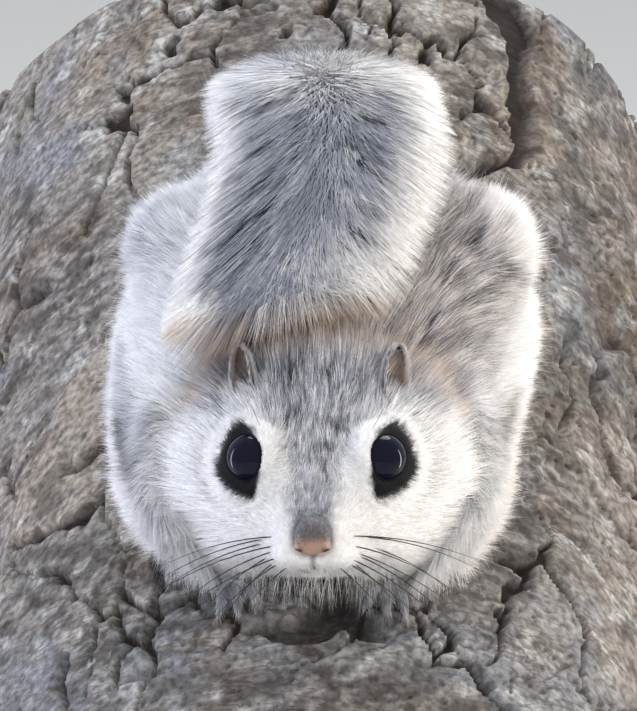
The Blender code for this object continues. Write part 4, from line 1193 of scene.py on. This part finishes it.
def make_nose(coat):
    """The bare pad with its nostrils, smoothed from the solid, and the short grey hair on its upper half."""
    pad = bpy.data.objects.new("nose_pad", copy_node("nose"))
    SCENE.collection.objects.link(pad)
    remeshed(pad, NOSE_VOXEL)
    spots = spread_over(edges_of(pad.data), points_of(pad.data), 3)
    pad.data.shade_smooth()
    side, back, up = in_head(to_trunk(spots)).T
    side = side * (1 + 0.10 * smooth(-0.5, -2.4, up)) * (1 - 0.12 * smooth(0, 2.8, up))
    up = up + 0.50 * (up + 0.8) * -smooth(-0.8, -3.4, up) * (0.35 + 0.65 * smooth(0.1, 1.2, np.abs(side)))
    spots = NOSE_TIP + np.stack((side, back, up), axis=1) @ HEAD_AXES
    move_points(pad.data, to_world(spots))
    # Darker on the top, which is the pad's own darker skin, along the lower edge, and in the nostrils, whose
    # dark is painted shade in their openings.
    nostril_shade = bell(np.abs(side), 2.05, 0.55) * bell(up, -1.25, 0.6)
    shade = smooth(-0.6, 1.7, up) * 0.85 + 0.45 * smooth(-2.1, -2.7, up) + 0.9 * nostril_shade
    give_number(pad, "top_shade", np.clip(shade, 0, 1))
    finish_piece(pad, nose_material(), "bare_skin", "nose")
    normals = normals_of(pad.data) @ LEAN_TURN
    dice = np.random.default_rng(61)
    low_edge = up + 0.25 * np.abs(side) + 1.4 * (noise(spots, 0.8, 62) - 0.5)
    weight = smooth(-0.7, 2.2, low_edge) ** 1.4 * smooth(4.5, 3.0, back)
    picked = dice.choice(len(spots), NOSE_HAIRS, p=weight / weight.sum())
    outward = normals[picked]
    ways = HEAD_AXES[1] + 0.5 * HEAD_AXES[2] + dice.normal(0, 0.25, (NOSE_HAIRS, 3))
    ways = along_skin(ways, outward)
    roots = spots[picked] - outward * 0.05
    tips = roots + (ways + 0.35 * outward) * dice.uniform(0.5, 1.1, NOSE_HAIRS)[:, None]
    marks = side_by_side(0.9, 0.3, np.clip(dice.normal(0.50, 0.22, NOSE_HAIRS), 0, 0.9))
    hairs = tuft_mesh(
        "coat_nose", np.stack((roots, tips), axis=1), unit(np.cross(ways, outward)), outward,
        np.full(NOSE_HAIRS, 0.075), marks, 0.5 + in_head(roots)[:, [0, 2]] / 9, outward, 0.5,
    )
    finish_piece(hairs, coat, "coat")


EAR_SWEEP = math.radians(54)
EAR_SPLAY = math.radians(14)
EAR_TWIST = math.radians(28)
EAR_HALF = np.array((3.0, 2.6, 6.2))
EAR_LENGTH = 11.5
EAR_HAIRS = 3000
EAR_SEEDS = {LEFT: 41, RIGHT: 42}
EAR_COLUMNS = 25
EAR_ROWS = 31
# For the ear's outer shell and its inner one: shares of its width and of its depth
EAR_SHELLS = ((1.0, 1.0), (0.97, 0.82))


def ear_material():
    material, tree, shader = new_material(
        "ear_leather", Roughness=0.55, Specular_IOR_Level=0.3, Sheen_Weight=0.2
    )
    rim, hollow_with_painted_shade = mask_parts(tree, "ear_mask")[:2]
    veins = noise_texture(tree, object_place(tree), 700.0, 4.0).outputs[0]
    colour = mix_colour(tree, veins, (0.10, 0.075, 0.066), (0.20, 0.15, 0.13))
    # The rim's pale colour, and painted shade in the cup.
    colour = mix_colour(tree, rim, colour, (0.42, 0.35, 0.32))
    colour = mix_colour(tree, hollow_with_painted_shade, colour, (0.03, 0.022, 0.020))
    dress(tree, shader, colour, bumped(tree, 0.3, 0.0002, veins))
    return material


def ear_frame(side):
    """The ear's own axes, as columns, and its middle."""
    turn = np.array(
        Matrix.Rotation(side * EAR_SPLAY, 3, "Y") @ Matrix.Rotation(-EAR_SWEEP, 3, "X")
        @ Matrix.Rotation(side * EAR_TWIST, 3, "Z")
    )
    return turn, from_head(side * EAR_SIDE, EAR_BACK, EAR_UP) + turn @ np.array((0, 0, EAR_LENGTH * 0.42))


def ear_hollow(spots, side):
    """One inside the ear's cup, and one just in front of its opening."""
    turn, middle = ear_frame(side)
    across, deep, along = ((spots - middle) @ turn / EAR_HALF).T
    out, shallow = np.hypot(across, along), smooth(1.1, 0.9, deep)
    low = -0.7 if side == LEFT else -0.45
    inside = smooth(1.15, 0.9, out) * smooth(-0.8, -0.4, deep) * shallow
    before = smooth(1.7, 1.1, out) * smooth(-3.0, -1.8, deep) * shallow
    return inside * smooth(low - 0.15, low + 0.15, along), before * smooth(-1.0, -0.5, along)


def make_ears(coat):
    """Thin cupped ears with a curled rim and short hair on their backs."""
    finish = ear_material()
    for side in (LEFT, RIGHT):
        word = SIDE_NAMES[side]
        turn, middle = ear_frame(side)
        columns, rows = EAR_COLUMNS, EAR_ROWS
        # light: how bright each ear's rim is; the right ear's rim is dimmed as painted shade.
        slim, light = (0.84, 0.85) if side == LEFT else (0.68, 0.3)
        outer, inner, mask = [], [], []
        for row in range(rows):
            v = -0.98 + 1.96 * row / (rows - 1)
            for column in range(columns):
                u = -1 + 2 * column / (columns - 1)
                wide = (1 - v * v) ** 0.42 * (1 - 0.08 * v)
                cup = (1 - abs(u) ** 2.4) ** 0.6 if abs(u) < 1 else 0
                curl = -0.35 * abs(u) ** 6
                for shell, (across, deep) in zip((outer, inner), EAR_SHELLS):
                    depth = wide * (0.94 * cup * deep + curl)
                    shell.append(EAR_HALF * (across * slim * wide * u, depth, 0.81 * v - 0.09))
                # The rim's pale colour, dimmed towards one side as painted shade.
                rim = smooth(0.86, 1.0, max(abs(u), v)) * light * (0.2 + 0.8 * smooth(-0.3, 0.6, u * side))
                # Painted shade in the cup: darker low down, and over the whole cup of the right ear.
                shade = 0.8 * smooth(0.5, -0.8, v) if side == LEFT else 0.45 + 0.4 * smooth(0.4, -0.6, v)
                mask.append((float(rim), float(shade), 0, 1))
        points = middle + np.array(outer + inner) @ turn.T
        faces, total = [], rows * columns
        for row in range(rows - 1):
            for column in range(columns - 1):
                a = row * columns + column
                b, c, d = a + 1, a + columns + 1, a + columns
                faces += [(a, b, c), (a, c, d)]
                faces += [(total + a, total + c, total + b), (total + a, total + d, total + c)]
        edge = [(r * columns, (r + 1) * columns) for r in range(rows - 1)]
        edge += [((r + 1) * columns - 1, (r + 2) * columns - 1) for r in range(rows - 1)]
        edge += [(c, c + 1) for c in range(columns - 1)]
        edge += [((rows - 1) * columns + c, (rows - 1) * columns + c + 1) for c in range(columns - 1)]
        faces += [(a, b, total + b) for a, b in edge] + [(a, total + b, total + a) for a, b in edge]
        ear = recalculate(build_mesh(f"ear_cup_{word}", points, faces))
        give_mask(ear, "ear_mask", np.array(mask + mask))
        finish_piece(ear, finish, "bare_skin", f"ear_{word}")
        hair_on_ear(side, ear, turn, middle, total, coat)


def hair_on_ear(side, ear, turn, middle, total, coat):
    """Short hairs over the back of the ear and along its rim."""
    dice = np.random.default_rng(EAR_SEEDS[side])
    spots = to_trunk(points_of(ear.data))[:total]
    normals = (normals_of(ear.data) @ LEAN_TURN)[:total]
    edge = np.flatnonzero(np.abs(((spots - middle) @ turn)[:, 1]) < 0.5)
    on_rim = dice.random(EAR_HAIRS) < 0.5
    picked = np.where(on_rim, dice.choice(edge, EAR_HAIRS), dice.integers(0, total, EAR_HAIRS))
    roots = spots[picked] + dice.normal(0, 0.12, (EAR_HAIRS, 3))
    outward = normals[picked]
    ways = np.tile(turn @ np.array((0, 0, 1.0)), (EAR_HAIRS, 1)) + dice.normal(0, 0.2, (EAR_HAIRS, 3))
    ways = along_skin(ways, outward)
    lengths = dice.uniform(0.8, 1.7, EAR_HAIRS)[:, None]
    middle_spots = roots + (ways * 0.85 + outward * 0.4) * 0.45 * lengths
    tips = middle_spots + (ways + outward * 0.1) * 0.55 * lengths
    paths = np.stack((roots, middle_spots, tips), axis=1)
    local = (roots - middle) @ turn
    grey = 0.25 + 0.5 * smooth(0.5, -0.5, side * local[:, 0])
    marks = side_by_side(grey, 0.2, np.clip(dice.normal(0.05, 0.15, EAR_HAIRS), 0, 1))
    uv = np.column_stack((0.5 + local[:, 0] / 10, 0.5 + local[:, 2] / 18))
    hairs = tuft_mesh(
        f"coat_ear_{SIDE_NAMES[side]}", paths, unit(np.cross(ways, outward)), outward,
        np.full(EAR_HAIRS, 0.085), marks, uv, outward, 0.5,
    )
    finish_piece(hairs, coat, "coat")


def tapered_tubes(name, paths, radii, sides=6):
    """Closed round tubes along paths, each thinning as its radii say."""
    points, faces, start = [], [], 0
    for path, radius in zip(paths, radii):
        path = np.array(path, float)
        tangents = unit(np.gradient(path, axis=0))
        helper = np.array((0, 0, 1.0)) if abs(tangents[0][2]) < 0.9 else np.array((1.0, 0, 0))
        side = unit(np.cross(tangents[0], helper))
        for place, tangent, thick in zip(path, tangents, radius):
            side = unit(side - tangent * side.dot(tangent))
            up = np.cross(tangent, side)
            for turn in 2 * math.pi * np.arange(sides) / sides:
                points.append(place + (side * math.cos(turn) + up * math.sin(turn)) * thick)
        foot = len(points)
        points += [path[0], path[-1]]
        faces += tube_faces(len(path), sides, start) + fan_faces(start, sides, foot)
        faces += fan_faces(foot - sides, sides, foot + 1)
        start = foot + 2
    return recalculate(build_mesh(name, points, faces))


def hair_material(name, low, high, roughness):
    material, tree, shader = new_material(name, Roughness=roughness, Specular_IOR_Level=0.5)
    tone = noise_texture(tree, object_place(tree), 300.0)
    tree.links.new(mix_colour(tree, tone.outputs[0], low, high), shader.inputs["Base Color"])
    return material


# Whiskers: root to the side, behind the nose and above its axis, then the way each sweeps and its length
WHISKER_ROWS = (
    (3.7, 3.0, -0.6, (0.95, 0.30, -0.10), 27),
    (4.3, 4.2, -1.2, (0.94, 0.33, -0.20), 30),
    (3.3, 2.4, -1.5, (0.95, 0.22, -0.24), 29),
    (4.5, 4.4, -2.1, (0.92, 0.33, -0.33), 28),
    (3.5, 2.8, -2.4, (0.93, 0.22, -0.34), 30),
    (3.1, 2.2, -3.1, (0.91, 0.17, -0.42), 26),
    (4.3, 3.9, -3.3, (0.88, 0.27, -0.46), 25),
    (3.3, 2.8, -4.1, (0.84, 0.17, -0.56), 21),
    (4.1, 4.2, -4.5, (0.80, 0.24, -0.60), 18),
    (2.8, 2.2, -4.8, (0.78, 0.12, -0.66), 15),
)
WHISKER_RADIUS = 0.105
WHISKER_STATIONS = 12


def make_whiskers():
    """Dark whiskers that stand out from the pads beside the nose and arch down, and two above each eye."""
    dice = np.random.default_rng(51)
    shares = np.linspace(0, 1, WHISKER_STATIONS)
    paths, radii = [], []
    for side in (LEFT, RIGHT):
        for across, back, up, way, reach in WHISKER_ROWS:
            root = from_head(side * across, back, up)
            heading = unit(np.array((side * way[0], way[1], way[2])) + dice.normal(0, 0.035, 3)) @ HEAD_AXES
            sag = np.array((-0.12 * side, -0.25, -0.5)) * reach * dice.uniform(0.35, 0.62)
            steps = np.linspace(-0.07, 1, WHISKER_STATIONS)[:, None]
            path = root + heading * reach * dice.uniform(0.85, 1.1) * steps + sag * steps**2 * np.sign(steps)
            paths.append(path)
            radii.append(WHISKER_RADIUS * np.interp(shares, (0, 0.2, 1), (0.7, 1.25, 0.15)))
        for across, back, up in ((8.2, 15.0, 11.2), (9.2, 16.4, 12.2)):
            root = from_head(side * across, back, up)
            heading = unit(np.array((side * 0.5, 0.45, 0.75)) + dice.normal(0, 0.06, 3)) @ HEAD_AXES
            steps = np.linspace(-0.04, 1, 9)[:, None]
            paths.append(root + heading * 9 * steps + np.array((0, 0.8, -1.0)) * steps**2)
            radii.append(WHISKER_RADIUS * 0.5 * np.linspace(1.0, 0.2, 9))
    finish = hair_material("whisker_hair", (0.008, 0.007, 0.006), (0.025, 0.02, 0.018), 0.45)
    finish_piece(tapered_tubes("whiskers", paths, radii), finish, "coat")


def bark_height(x):
    return np.sqrt(TRUNK_RADIUS**2 - np.asarray(x) ** 2) - TRUNK_RADIUS


# Each foot: name, wrist, heading, palm size, toes, toe length and fan, as in the solids
FEET = {
    "forepaw": ((13.5, -0.5, -12.0), (-0.30, -1.0), (3.6, 3.0, 1.9), 4, 4.6, math.radians(66)),
    "hindfoot": ((24.0, 1.6, 71.0), (0.15, 1.0), (7.5, 3.6, 2.2), 5, 6.2, math.radians(60)),
}
CLAW = 2.6
CLAW_RADIUS = 0.52
CLAW_STATIONS = 8


def make_claws():
    """Hooked horn claws over the solids' toe ends."""
    paths, radii = [], []
    for (out, shift, along), heading, size, toes, reach, fan in FEET.values():
        for side in (LEFT, RIGHT):
            way = unit(np.array((heading[0] * side, heading[1], 0.0)))
            palm = np.array((side * out + shift, along, 0)) + way * size[0] * 0.8
            step = np.array((-way[1], way[0], 0))
            for share in np.linspace(-0.5, 0.5, toes):
                toe = way * math.cos(share * fan) + step * math.sin(share * fan)
                root = palm + toe * size[0] * 0.45 + step * share * size[1] * 1.1
                long = reach * (1 - 0.35 * abs(share) * 2 * (0.8 if share > 0 else 1.0))
                root[2] = bark_height(root[0]) + 1.5
                drop = bark_height((root + toe * long)[0]) - bark_height(root[0])
                slope = unit(np.array((toe[0], toe[1], drop / long)))
                end = root + slope * long + np.array((0, 0, -0.25 * 1.05 * 2))
                first = end + slope * CLAW * 0.55 + np.array((0, 0, -0.2 * CLAW))
                last = first + slope * CLAW * 0.35 + np.array((0, 0, -0.5 * CLAW))
                t = np.linspace(0, 1, CLAW_STATIONS)[:, None]
                paths.append(end * (1 - t) ** 2 + 2 * first * t * (1 - t) + last * t * t)
                radii.append(CLAW_RADIUS * np.linspace(1, 0.12, CLAW_STATIONS) ** 0.8)
    finish = hair_material("claw_horn", (0.035, 0.028, 0.025), (0.10, 0.08, 0.07), 0.3)
    finish_piece(tapered_tubes("claws", paths, radii, 8), finish, "bare_skin")


# The trunk

BARK_RIPPLE = 1.1
PLATE_SIZE = 23.0
FLAKE_SIZE = 7.0
CRACK_DEPTH = 2.9
RELIEF_LIMIT = 5.5


def trunk_radius(turn, along):
    """The solid's own surface, from the turn about the log and the way along it in metres."""
    swell = 0.6 * np.sin(3 * turn + 40 * along) + 0.4 * np.sin(7 * turn - 65 * along + 1.3)
    calm = 0.25 + 0.75 * np.minimum(1.0, np.abs(turn) / math.radians(55))
    return TRUNK_RADIUS + BARK_RIPPLE * swell * calm


def cells(points, size, seed):
    """Distance to the border between scattered cells, and a number for the cell, at each point."""
    spots = points / size
    low = np.floor(spots)
    first = np.full(len(spots), 9.0)
    second = np.full(len(spots), 9.0)
    number = np.zeros(len(spots))
    for step in np.ndindex(3, 3, 3):
        cell = low + np.array(step) - 1
        place = cell + np.stack([scatter(cell, seed + k) for k in range(3)], axis=1)
        reach = np.linalg.norm(place - spots, axis=1)
        closer = reach < first
        second = np.where(closer, first, np.minimum(second, reach))
        number = np.where(closer, scatter(cell, seed + 3), number)
        first = np.where(closer, reach, first)
    return (second - first) * size, number


def drift(points, size, seed):
    return np.stack([noise(points, size, seed + k) - 0.5 for k in range(3)], axis=1)


def bark_relief(turn, along):
    """How deep the bark lies under the solid's surface, its plate and flake numbers, and how dark it is."""
    spots = np.column_stack((TRUNK_RADIUS * np.sin(turn), along, TRUNK_RADIUS * np.cos(turn)))
    bent = spots + drift(spots, 24.0, 61) * 13 + drift(spots, 7.0, 64) * 4.0 + drift(spots, 2.6, 67) * 1.6
    border, plate = cells(bent * np.array((1.15, 0.55, 1.15)), PLATE_SIZE, 71)
    flake_border, flake = cells(bent * np.array((0.62, 1.25, 0.9)), FLAKE_SIZE, 75)
    gape = 0.05 + 0.85 * smooth(0.46, 0.74, noise(spots, 21.0, 65))
    crack = 1 - smooth(0.7 * gape, gape, border)
    line = np.abs(noise(bent * np.array((1, 0.30, 1)), 19.0, 80) - 0.5)
    split = (1 - smooth(0.008, 0.022, line)) * smooth(0.40, 0.55, noise(spots, 30.0, 83))
    flaky = smooth(0.40, 0.58, noise(spots, 26.0, 66))
    edge = (1 - smooth(0.0, 0.38, flake_border)) * flaky
    rough = noise(spots, 1.7, 68) * 0.16 + noise(bent, 9.0, 90) * 0.35
    depth = 0.15 + CRACK_DEPTH * np.maximum(crack * (0.45 + 0.6 * noise(spots, 9.0, 69)), split)
    depth = depth + (1 - plate) * 0.8 + np.floor(flake * 3) * 0.38 * flaky + edge * 0.45 + rough
    # The cracks and splits are painted dark: painted shade in them.
    dark = np.maximum(crack * (0.35 + 0.65 * smooth(0.15, 0.6, gape)), split)
    specks = noise(bent * np.array((0.6, 1.4, 0.6)), 2.6, 98)
    stain = smooth(0.46, 0.60, noise(spots, 15.0, 97)) * smooth(0.38, 0.62, specks)
    # Darker low down, below the head, as dirt and painted shade, and towards the upper right.
    dirt_and_painted_shade = 0.6 * smooth(-26, -38, along) + 0.5 * smooth(32, 46, spots[:, 0]) * smooth(20, 60, along)
    dark = np.maximum(dark, np.maximum(0.6 * stain, dirt_and_painted_shade * smooth(0.30, 0.62, noise(bent, 3.4, 99))))
    # A shallow hollow in the bark below the chin, painted dark as painted shade.
    ragged = along + 22 + 7 * (noise(spots, 5.0, 95) - 0.5)
    hollow_with_painted_shade = smooth(1.0, 0.6, np.hypot(spots[:, 0] / 15, ragged / 4.5)) * smooth(0, 20, spots[:, 2])
    depth = depth + 3.0 * hollow_with_painted_shade
    dark = np.maximum(dark, 0.85 * hollow_with_painted_shade)
    # Flake edges are darkened too: painted shade under them.
    return depth, plate, flake, np.clip(np.maximum(dark, edge * 0.55), 0, 1)


def crust_group():
    """Thin torn scales of bark: their height, and how dark their edges are, which is painted shade."""
    tree, given, result = new_group(
        "bark_crust", (("Scale", "Float", 260.0), ("Warp", "Float", 0.008)),
        (("Height", "Float"), ("Painted edge shade", "Float")),
    )
    lain = add_node(
        tree, "ShaderNodeMapping",
        ((0, object_place(tree)), ("Rotation", (TRUNK_LEAN, 0, 0)), ("Scale", (2.6, 0.75, 2.6))),
        vector_type="TEXTURE",
    ).outputs[0]
    lumps = noise_texture(tree, lain, 210.0, 6.0)
    kind = "ShaderNodeVectorMath"
    shift = add_node(tree, kind, ((0, lumps.outputs["Color"]), (1, (0.5, 0.5, 0.5))), operation="SUBTRACT")
    shift = add_node(tree, kind, ((0, shift.outputs[0]), ("Scale", given.outputs["Warp"])), operation="SCALE")
    bent = add_node(tree, kind, ((0, lain), (1, shift.outputs[0])))
    warped = (("Vector", bent.outputs[0]), ("Scale", given.outputs["Scale"]))
    scales = add_node(tree, "ShaderNodeTexVoronoi", warped)
    border = add_node(tree, "ShaderNodeTexVoronoi", warped, feature="DISTANCE_TO_EDGE")
    level = add_node(tree, "ShaderNodeSeparateColor", ((0, scales.outputs["Color"]),))
    step = math_node(tree, "MULTIPLY", level.outputs[0], 0.3)
    strands = math_node(tree, "MULTIPLY", lumps.outputs[0], 1.6)
    tree.links.new(math_node(tree, "ADD", step, strands), result.inputs["Height"])
    tree.links.new(between(tree, border.outputs["Distance"], 0.0, 0.07, 1.0, 0.0), result.inputs["Painted edge shade"])
    return tree


def bark_material():
    material, tree, shader = new_material("bark", Roughness=0.88, Specular_IOR_Level=0.25)
    plate, flake, dark = mask_parts(tree, "bark_mask")[:3]
    place = object_place(tree)
    crust = use_group(tree, crust_group())
    close = noise_texture(tree, place, 700.0, 7.0).outputs[0]

    def patches(share, scale, low, high, detail=4.0):
        lumps = noise_texture(tree, place, scale, detail)
        return math_node(tree, "MULTIPLY", between(tree, lumps.outputs[0], low, high), share)

    tone = mix_colour(tree, plate, (0.245, 0.235, 0.23), (0.35, 0.30, 0.25))
    tone = mix_colour(tree, patches(0.7, 26.0, 0.48, 0.60), tone, (0.25, 0.265, 0.295))
    tone = mix_colour(tree, patches(0.5, 44.0, 0.54, 0.66), tone, (0.25, 0.18, 0.125))
    tone = mix_colour(tree, math_node(tree, "MULTIPLY", flake, 0.30), tone, (0.46, 0.42, 0.375))
    tone = mix_colour(tree, patches(0.75, 120.0, 0.55, 0.62, 8.0), tone, (0.50, 0.49, 0.47))
    tone = mix_colour(tree, patches(0.65, 260.0, 0.57, 0.66, 8.0), tone, (0.09, 0.075, 0.065))
    tone = shaded(tree, tone, between(tree, close, 0.3, 0.70, 0.22, 0.84))
    # Painted shade under the scales' edges, in patches.
    edge = math_node(tree, "MULTIPLY", crust.outputs["Painted edge shade"], patches(0.85, 60.0, 0.38, 0.54))
    tone = mix_colour(tree, edge, tone, (0.09, 0.07, 0.06))
    # The mask's dark: stains and dirt, with painted shade in cracks, under flake edges, low down and in the
    # hollow below the chin.
    tone = mix_colour(tree, dark, tone, (0.016, 0.012, 0.010))
    relief = bumped(tree, 0.8, 0.0008, crust.outputs["Height"])
    dress(tree, shader, tone, bumped(tree, 0.5, 0.0003, close, relief))
    return material


def end_grain_material():
    material, tree, shader = new_material("cut_wood", Roughness=0.7, Specular_IOR_Level=0.3)
    out = add_node(tree, "ShaderNodeAttribute", attribute_name="ring_mask").outputs["Fac"]
    place = object_place(tree)
    wobble = math_node(tree, "MULTIPLY", noise_texture(tree, place, 60.0, 3.0).outputs[0], 9.0)
    rings = math_node(tree, "SINE", math_node(tree, "MULTIPLY_ADD", out, 150.0, wobble))
    tone = mix_colour(tree, between(tree, rings, -1.0, 1.0), (0.42, 0.27, 0.15), (0.56, 0.40, 0.25))
    tone = mix_colour(tree, between(tree, out, 0.925, 0.94), tone, (0.10, 0.065, 0.045))
    saw = noise_texture(tree, place, 900.0, 4.0)
    dress(tree, shader, tone, bumped(tree, 0.5, 0.0003, saw.outputs[0]))
    return material


FOOT_CALM = 9.0


def make_half_trunk(word, first, last, columns, rows, finishes):
    """Half the log: bark plates sunk into the solid's own surface, and sawn ends."""
    turns = np.linspace(first, last, columns + 1) * math.pi
    alongs = np.linspace(TRUNK_LOW_END + 0.15, TRUNK_HIGH_END - 0.15, rows + 1)
    turn, along = (grid.ravel() for grid in np.meshgrid(turns, alongs))
    wrapped = (turn + math.pi) % (2 * math.pi) - math.pi
    depth, plate, flake, dark = bark_relief(wrapped, along)
    calm = np.ones(len(turn))
    for (out, shift, up), heading, size, *_ in FEET.values():
        for side in (LEFT, RIGHT):
            gap = np.hypot(wrapped * TRUNK_RADIUS - side * out - shift, along - up - heading[1] * size[0])
            calm = np.minimum(calm, 0.3 + 0.7 * smooth(0.5 * FOOT_CALM, FOOT_CALM, gap))
    radius = trunk_radius(wrapped, along * MM) - 0.1 - np.clip(depth, 0, RELIEF_LIMIT) * calm
    outer = np.column_stack((radius * np.sin(turn), along, radius * np.cos(turn) - TRUNK_RADIUS))
    axis = np.column_stack((0 * alongs, alongs, 0 * alongs - TRUNK_RADIUS))
    width, count = columns + 1, len(outer)
    a = (np.arange(rows)[:, None] * width + np.arange(columns)[None]).ravel()
    bark = np.concatenate((
        np.column_stack((a, a + 1, a + width + 1)), np.column_stack((a, a + width + 1, a + width))
    ))
    r, c = np.arange(rows), np.arange(columns)
    near, far, middle, top = r * width, r * width + columns, count + r, rows * width + c
    ends = np.concatenate((
        np.column_stack((near, near + width, middle + 1)), np.column_stack((near, middle + 1, middle)),
        np.column_stack((far + width, far, middle)), np.column_stack((far + width, middle, middle + 1)),
        np.column_stack((c + 1, c, 0 * c + count)), np.column_stack((top, top + 1, 0 * c + count + rows)),
    ))
    obj = build_mesh(f"bark_{word}", np.concatenate((outer, axis)), np.concatenate((bark, ends)))
    mask = np.zeros((count + rows + 1, 4))
    mask[:count] = np.column_stack((plate, smooth(0.4, 0.9, flake), dark, np.ones(count)))
    give_mask(obj, "bark_mask", mask)
    give_number(obj, "ring_mask", np.append(radius / TRUNK_RADIUS, 0 * alongs))
    finish_piece(obj, finishes[0], "bark")
    obj.data.materials.append(finishes[1])
    sawn = np.arange(len(bark) + len(ends)) >= len(bark)
    obj.data.polygons.foreach_set("material_index", sawn.astype(np.int32))
    obj.data.polygons.foreach_set("use_smooth", ~sawn)
    return obj


def make_trunk():
    finishes = bark_material(), end_grain_material()
    upper = make_half_trunk("upper", -0.5, 0.5, 330, 292, finishes)
    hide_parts("perch_trunk")
    make_half_trunk("lower", 0.5, 1.5, 190, 180, finishes)


# The stand

def wood_material():
    material, tree, shader = new_material(
        "stained_board", Roughness=0.42, Coat_Weight=0.25, Coat_Roughness=0.25
    )
    grain = noise_texture(tree, stretched(tree, 14.0, 160.0, 160.0), 1.0, 6.0)
    pores = noise_texture(tree, stretched(tree, 90.0, 1400.0, 1400.0), 1.0, 3.0)
    tone = mix_colour(tree, grain.outputs[0], (0.045, 0.022, 0.011), (0.17, 0.085, 0.042))
    dress(tree, shader, tone, bumped(tree, 0.25, 0.0002, pores.outputs[0]))
    return material


def steel_material():
    material, tree, shader = new_material(
        "brushed_rod", Base_Color=(0.56, 0.56, 0.57), Metallic=1.0, Roughness=0.32, Anisotropic=0.4
    )
    lines = noise_texture(tree, stretched(tree, 300.0, 300.0, 6000.0), 1.0)
    tree.links.new(between(tree, lines.outputs[0], 0.0, 1.0, 0.24, 0.42), shader.inputs["Roughness"])
    return material


def dress_stand():
    board, steel = wood_material(), steel_material()
    for name, obj in NODES.items():
        if name.startswith("stand_"):
            finish = board if name == "stand_base" else steel
            for held in obj.material_slots:
                held.material = finish


# Stage, light and camera

FLOOR_HALF = 15.0
LIGHT_AIM = (0, -0.06, 0.20)
SKY_COLOUR = (0.86, 0.885, 0.92, 1)
SKY_STRENGTH = 0.85


def make_stage():
    """A wide pale floor."""
    points = [(-FLOOR_HALF, -FLOOR_HALF, 0), (FLOOR_HALF, -FLOOR_HALF, 0)]
    points += [(FLOOR_HALF, FLOOR_HALF, 0), (-FLOOR_HALF, FLOOR_HALF, 0)]
    floor = build_mesh("floor", np.array(points, float), [(0, 1, 2, 3)], world=False)
    finish = new_material(
        "pale_floor", Base_Color=(0.66, 0.655, 0.64), Roughness=0.9, Specular_IOR_Level=0.2
    )
    floor.data.materials.append(finish[0])


def add_light(name, place, size, power, colour, mirrored=True):
    """A soft light of the given width and height that faces the animal; mirrored ones show in its eyes."""
    lamp = bpy.data.lights.new(name, "AREA")
    lamp.shape, lamp.energy, lamp.color = "ELLIPSE", power, colour
    lamp.size, lamp.size_y = size
    obj = bpy.data.objects.new(name, lamp)
    obj.location = place
    obj.rotation_euler = (Vector(LIGHT_AIM) - Vector(place)).to_track_quat("-Z", "Y").to_euler()
    obj.visible_camera = False
    obj.visible_glossy = mirrored
    SCENE.collection.objects.link(obj)


def make_light():
    add_light("key", (-0.8, -0.8, 1.45), (1.7, 1.5), 25.0, (0.85, 0.905, 1.0), False)
    add_light("fill", (1.2, -0.9, 0.9), (1.2, 1.4), 15.0, (1.0, 0.89, 0.75), False)
    add_light("low", (0.0, -1.2, 0.06), (1.2, 0.10), 2.5, (1.0, 0.97, 0.94), False)
    add_light("top", (0.15, 0.60, 1.25), (0.8, 0.8), 12.0, (0.97, 0.98, 1.0))
    add_light("left_strip", (-0.40, 0.0, 0.14), (0.055, 0.55), 1.3, (0.72, 0.76, 1.0))
    add_light("right_strip", (0.40, -0.03, 0.14), (0.05, 0.55), 1.5, (1.0, 0.97, 0.93))
    world = bpy.data.worlds.new("studio")
    world.use_nodes = True
    sky = world.node_tree.nodes["Background"]
    sky.inputs[0].default_value = SKY_COLOUR
    sky.inputs[1].default_value = SKY_STRENGTH
    SCENE.world = world
    SCENE.view_settings.view_transform = "Standard"


CAMERA_RISE = math.radians(9)
CAMERA_REACH = 1.2
CAMERA_LENS = 352.0
# How far to the side and how far up in the picture the camera aims from the bark under the neck
AIM_SIDE = 0.0006
AIM_UP = 0.0292


def make_camera():
    camera = bpy.data.cameras.new("view")
    camera.lens, camera.sensor_width = CAMERA_LENS, 36
    camera.clip_start, camera.clip_end = 0.05, 20
    obj = bpy.data.objects.new("view", camera)
    back = Vector((0, -math.cos(CAMERA_RISE), math.sin(CAMERA_RISE)))
    up = Vector((0, math.sin(CAMERA_RISE), math.cos(CAMERA_RISE)))
    aim = Vector(LEAN_SHIFT * MM) + up * AIM_UP + Vector((AIM_SIDE, 0, 0))
    obj.location = aim + back * CAMERA_REACH
    obj.rotation_euler = (-back).to_track_quat("-Z", "Y").to_euler()
    SCENE.collection.objects.link(obj)
    SCENE.camera = obj


COAT_FINISH = coat_material()
SKIN_FINISH = skin_material()
body = make_skin()
finish_piece(body, SKIN_FINISH, "coat", *FLESH, *PAWS)
make_body_coat(body, COAT_FINISH)
make_tail(COAT_FINISH, SKIN_FINISH)
make_eyes()
make_nose(COAT_FINISH)
make_ears(COAT_FINISH)
make_whiskers()
make_claws()
make_trunk()
dress_stand()
make_stage()
make_light()
make_camera()
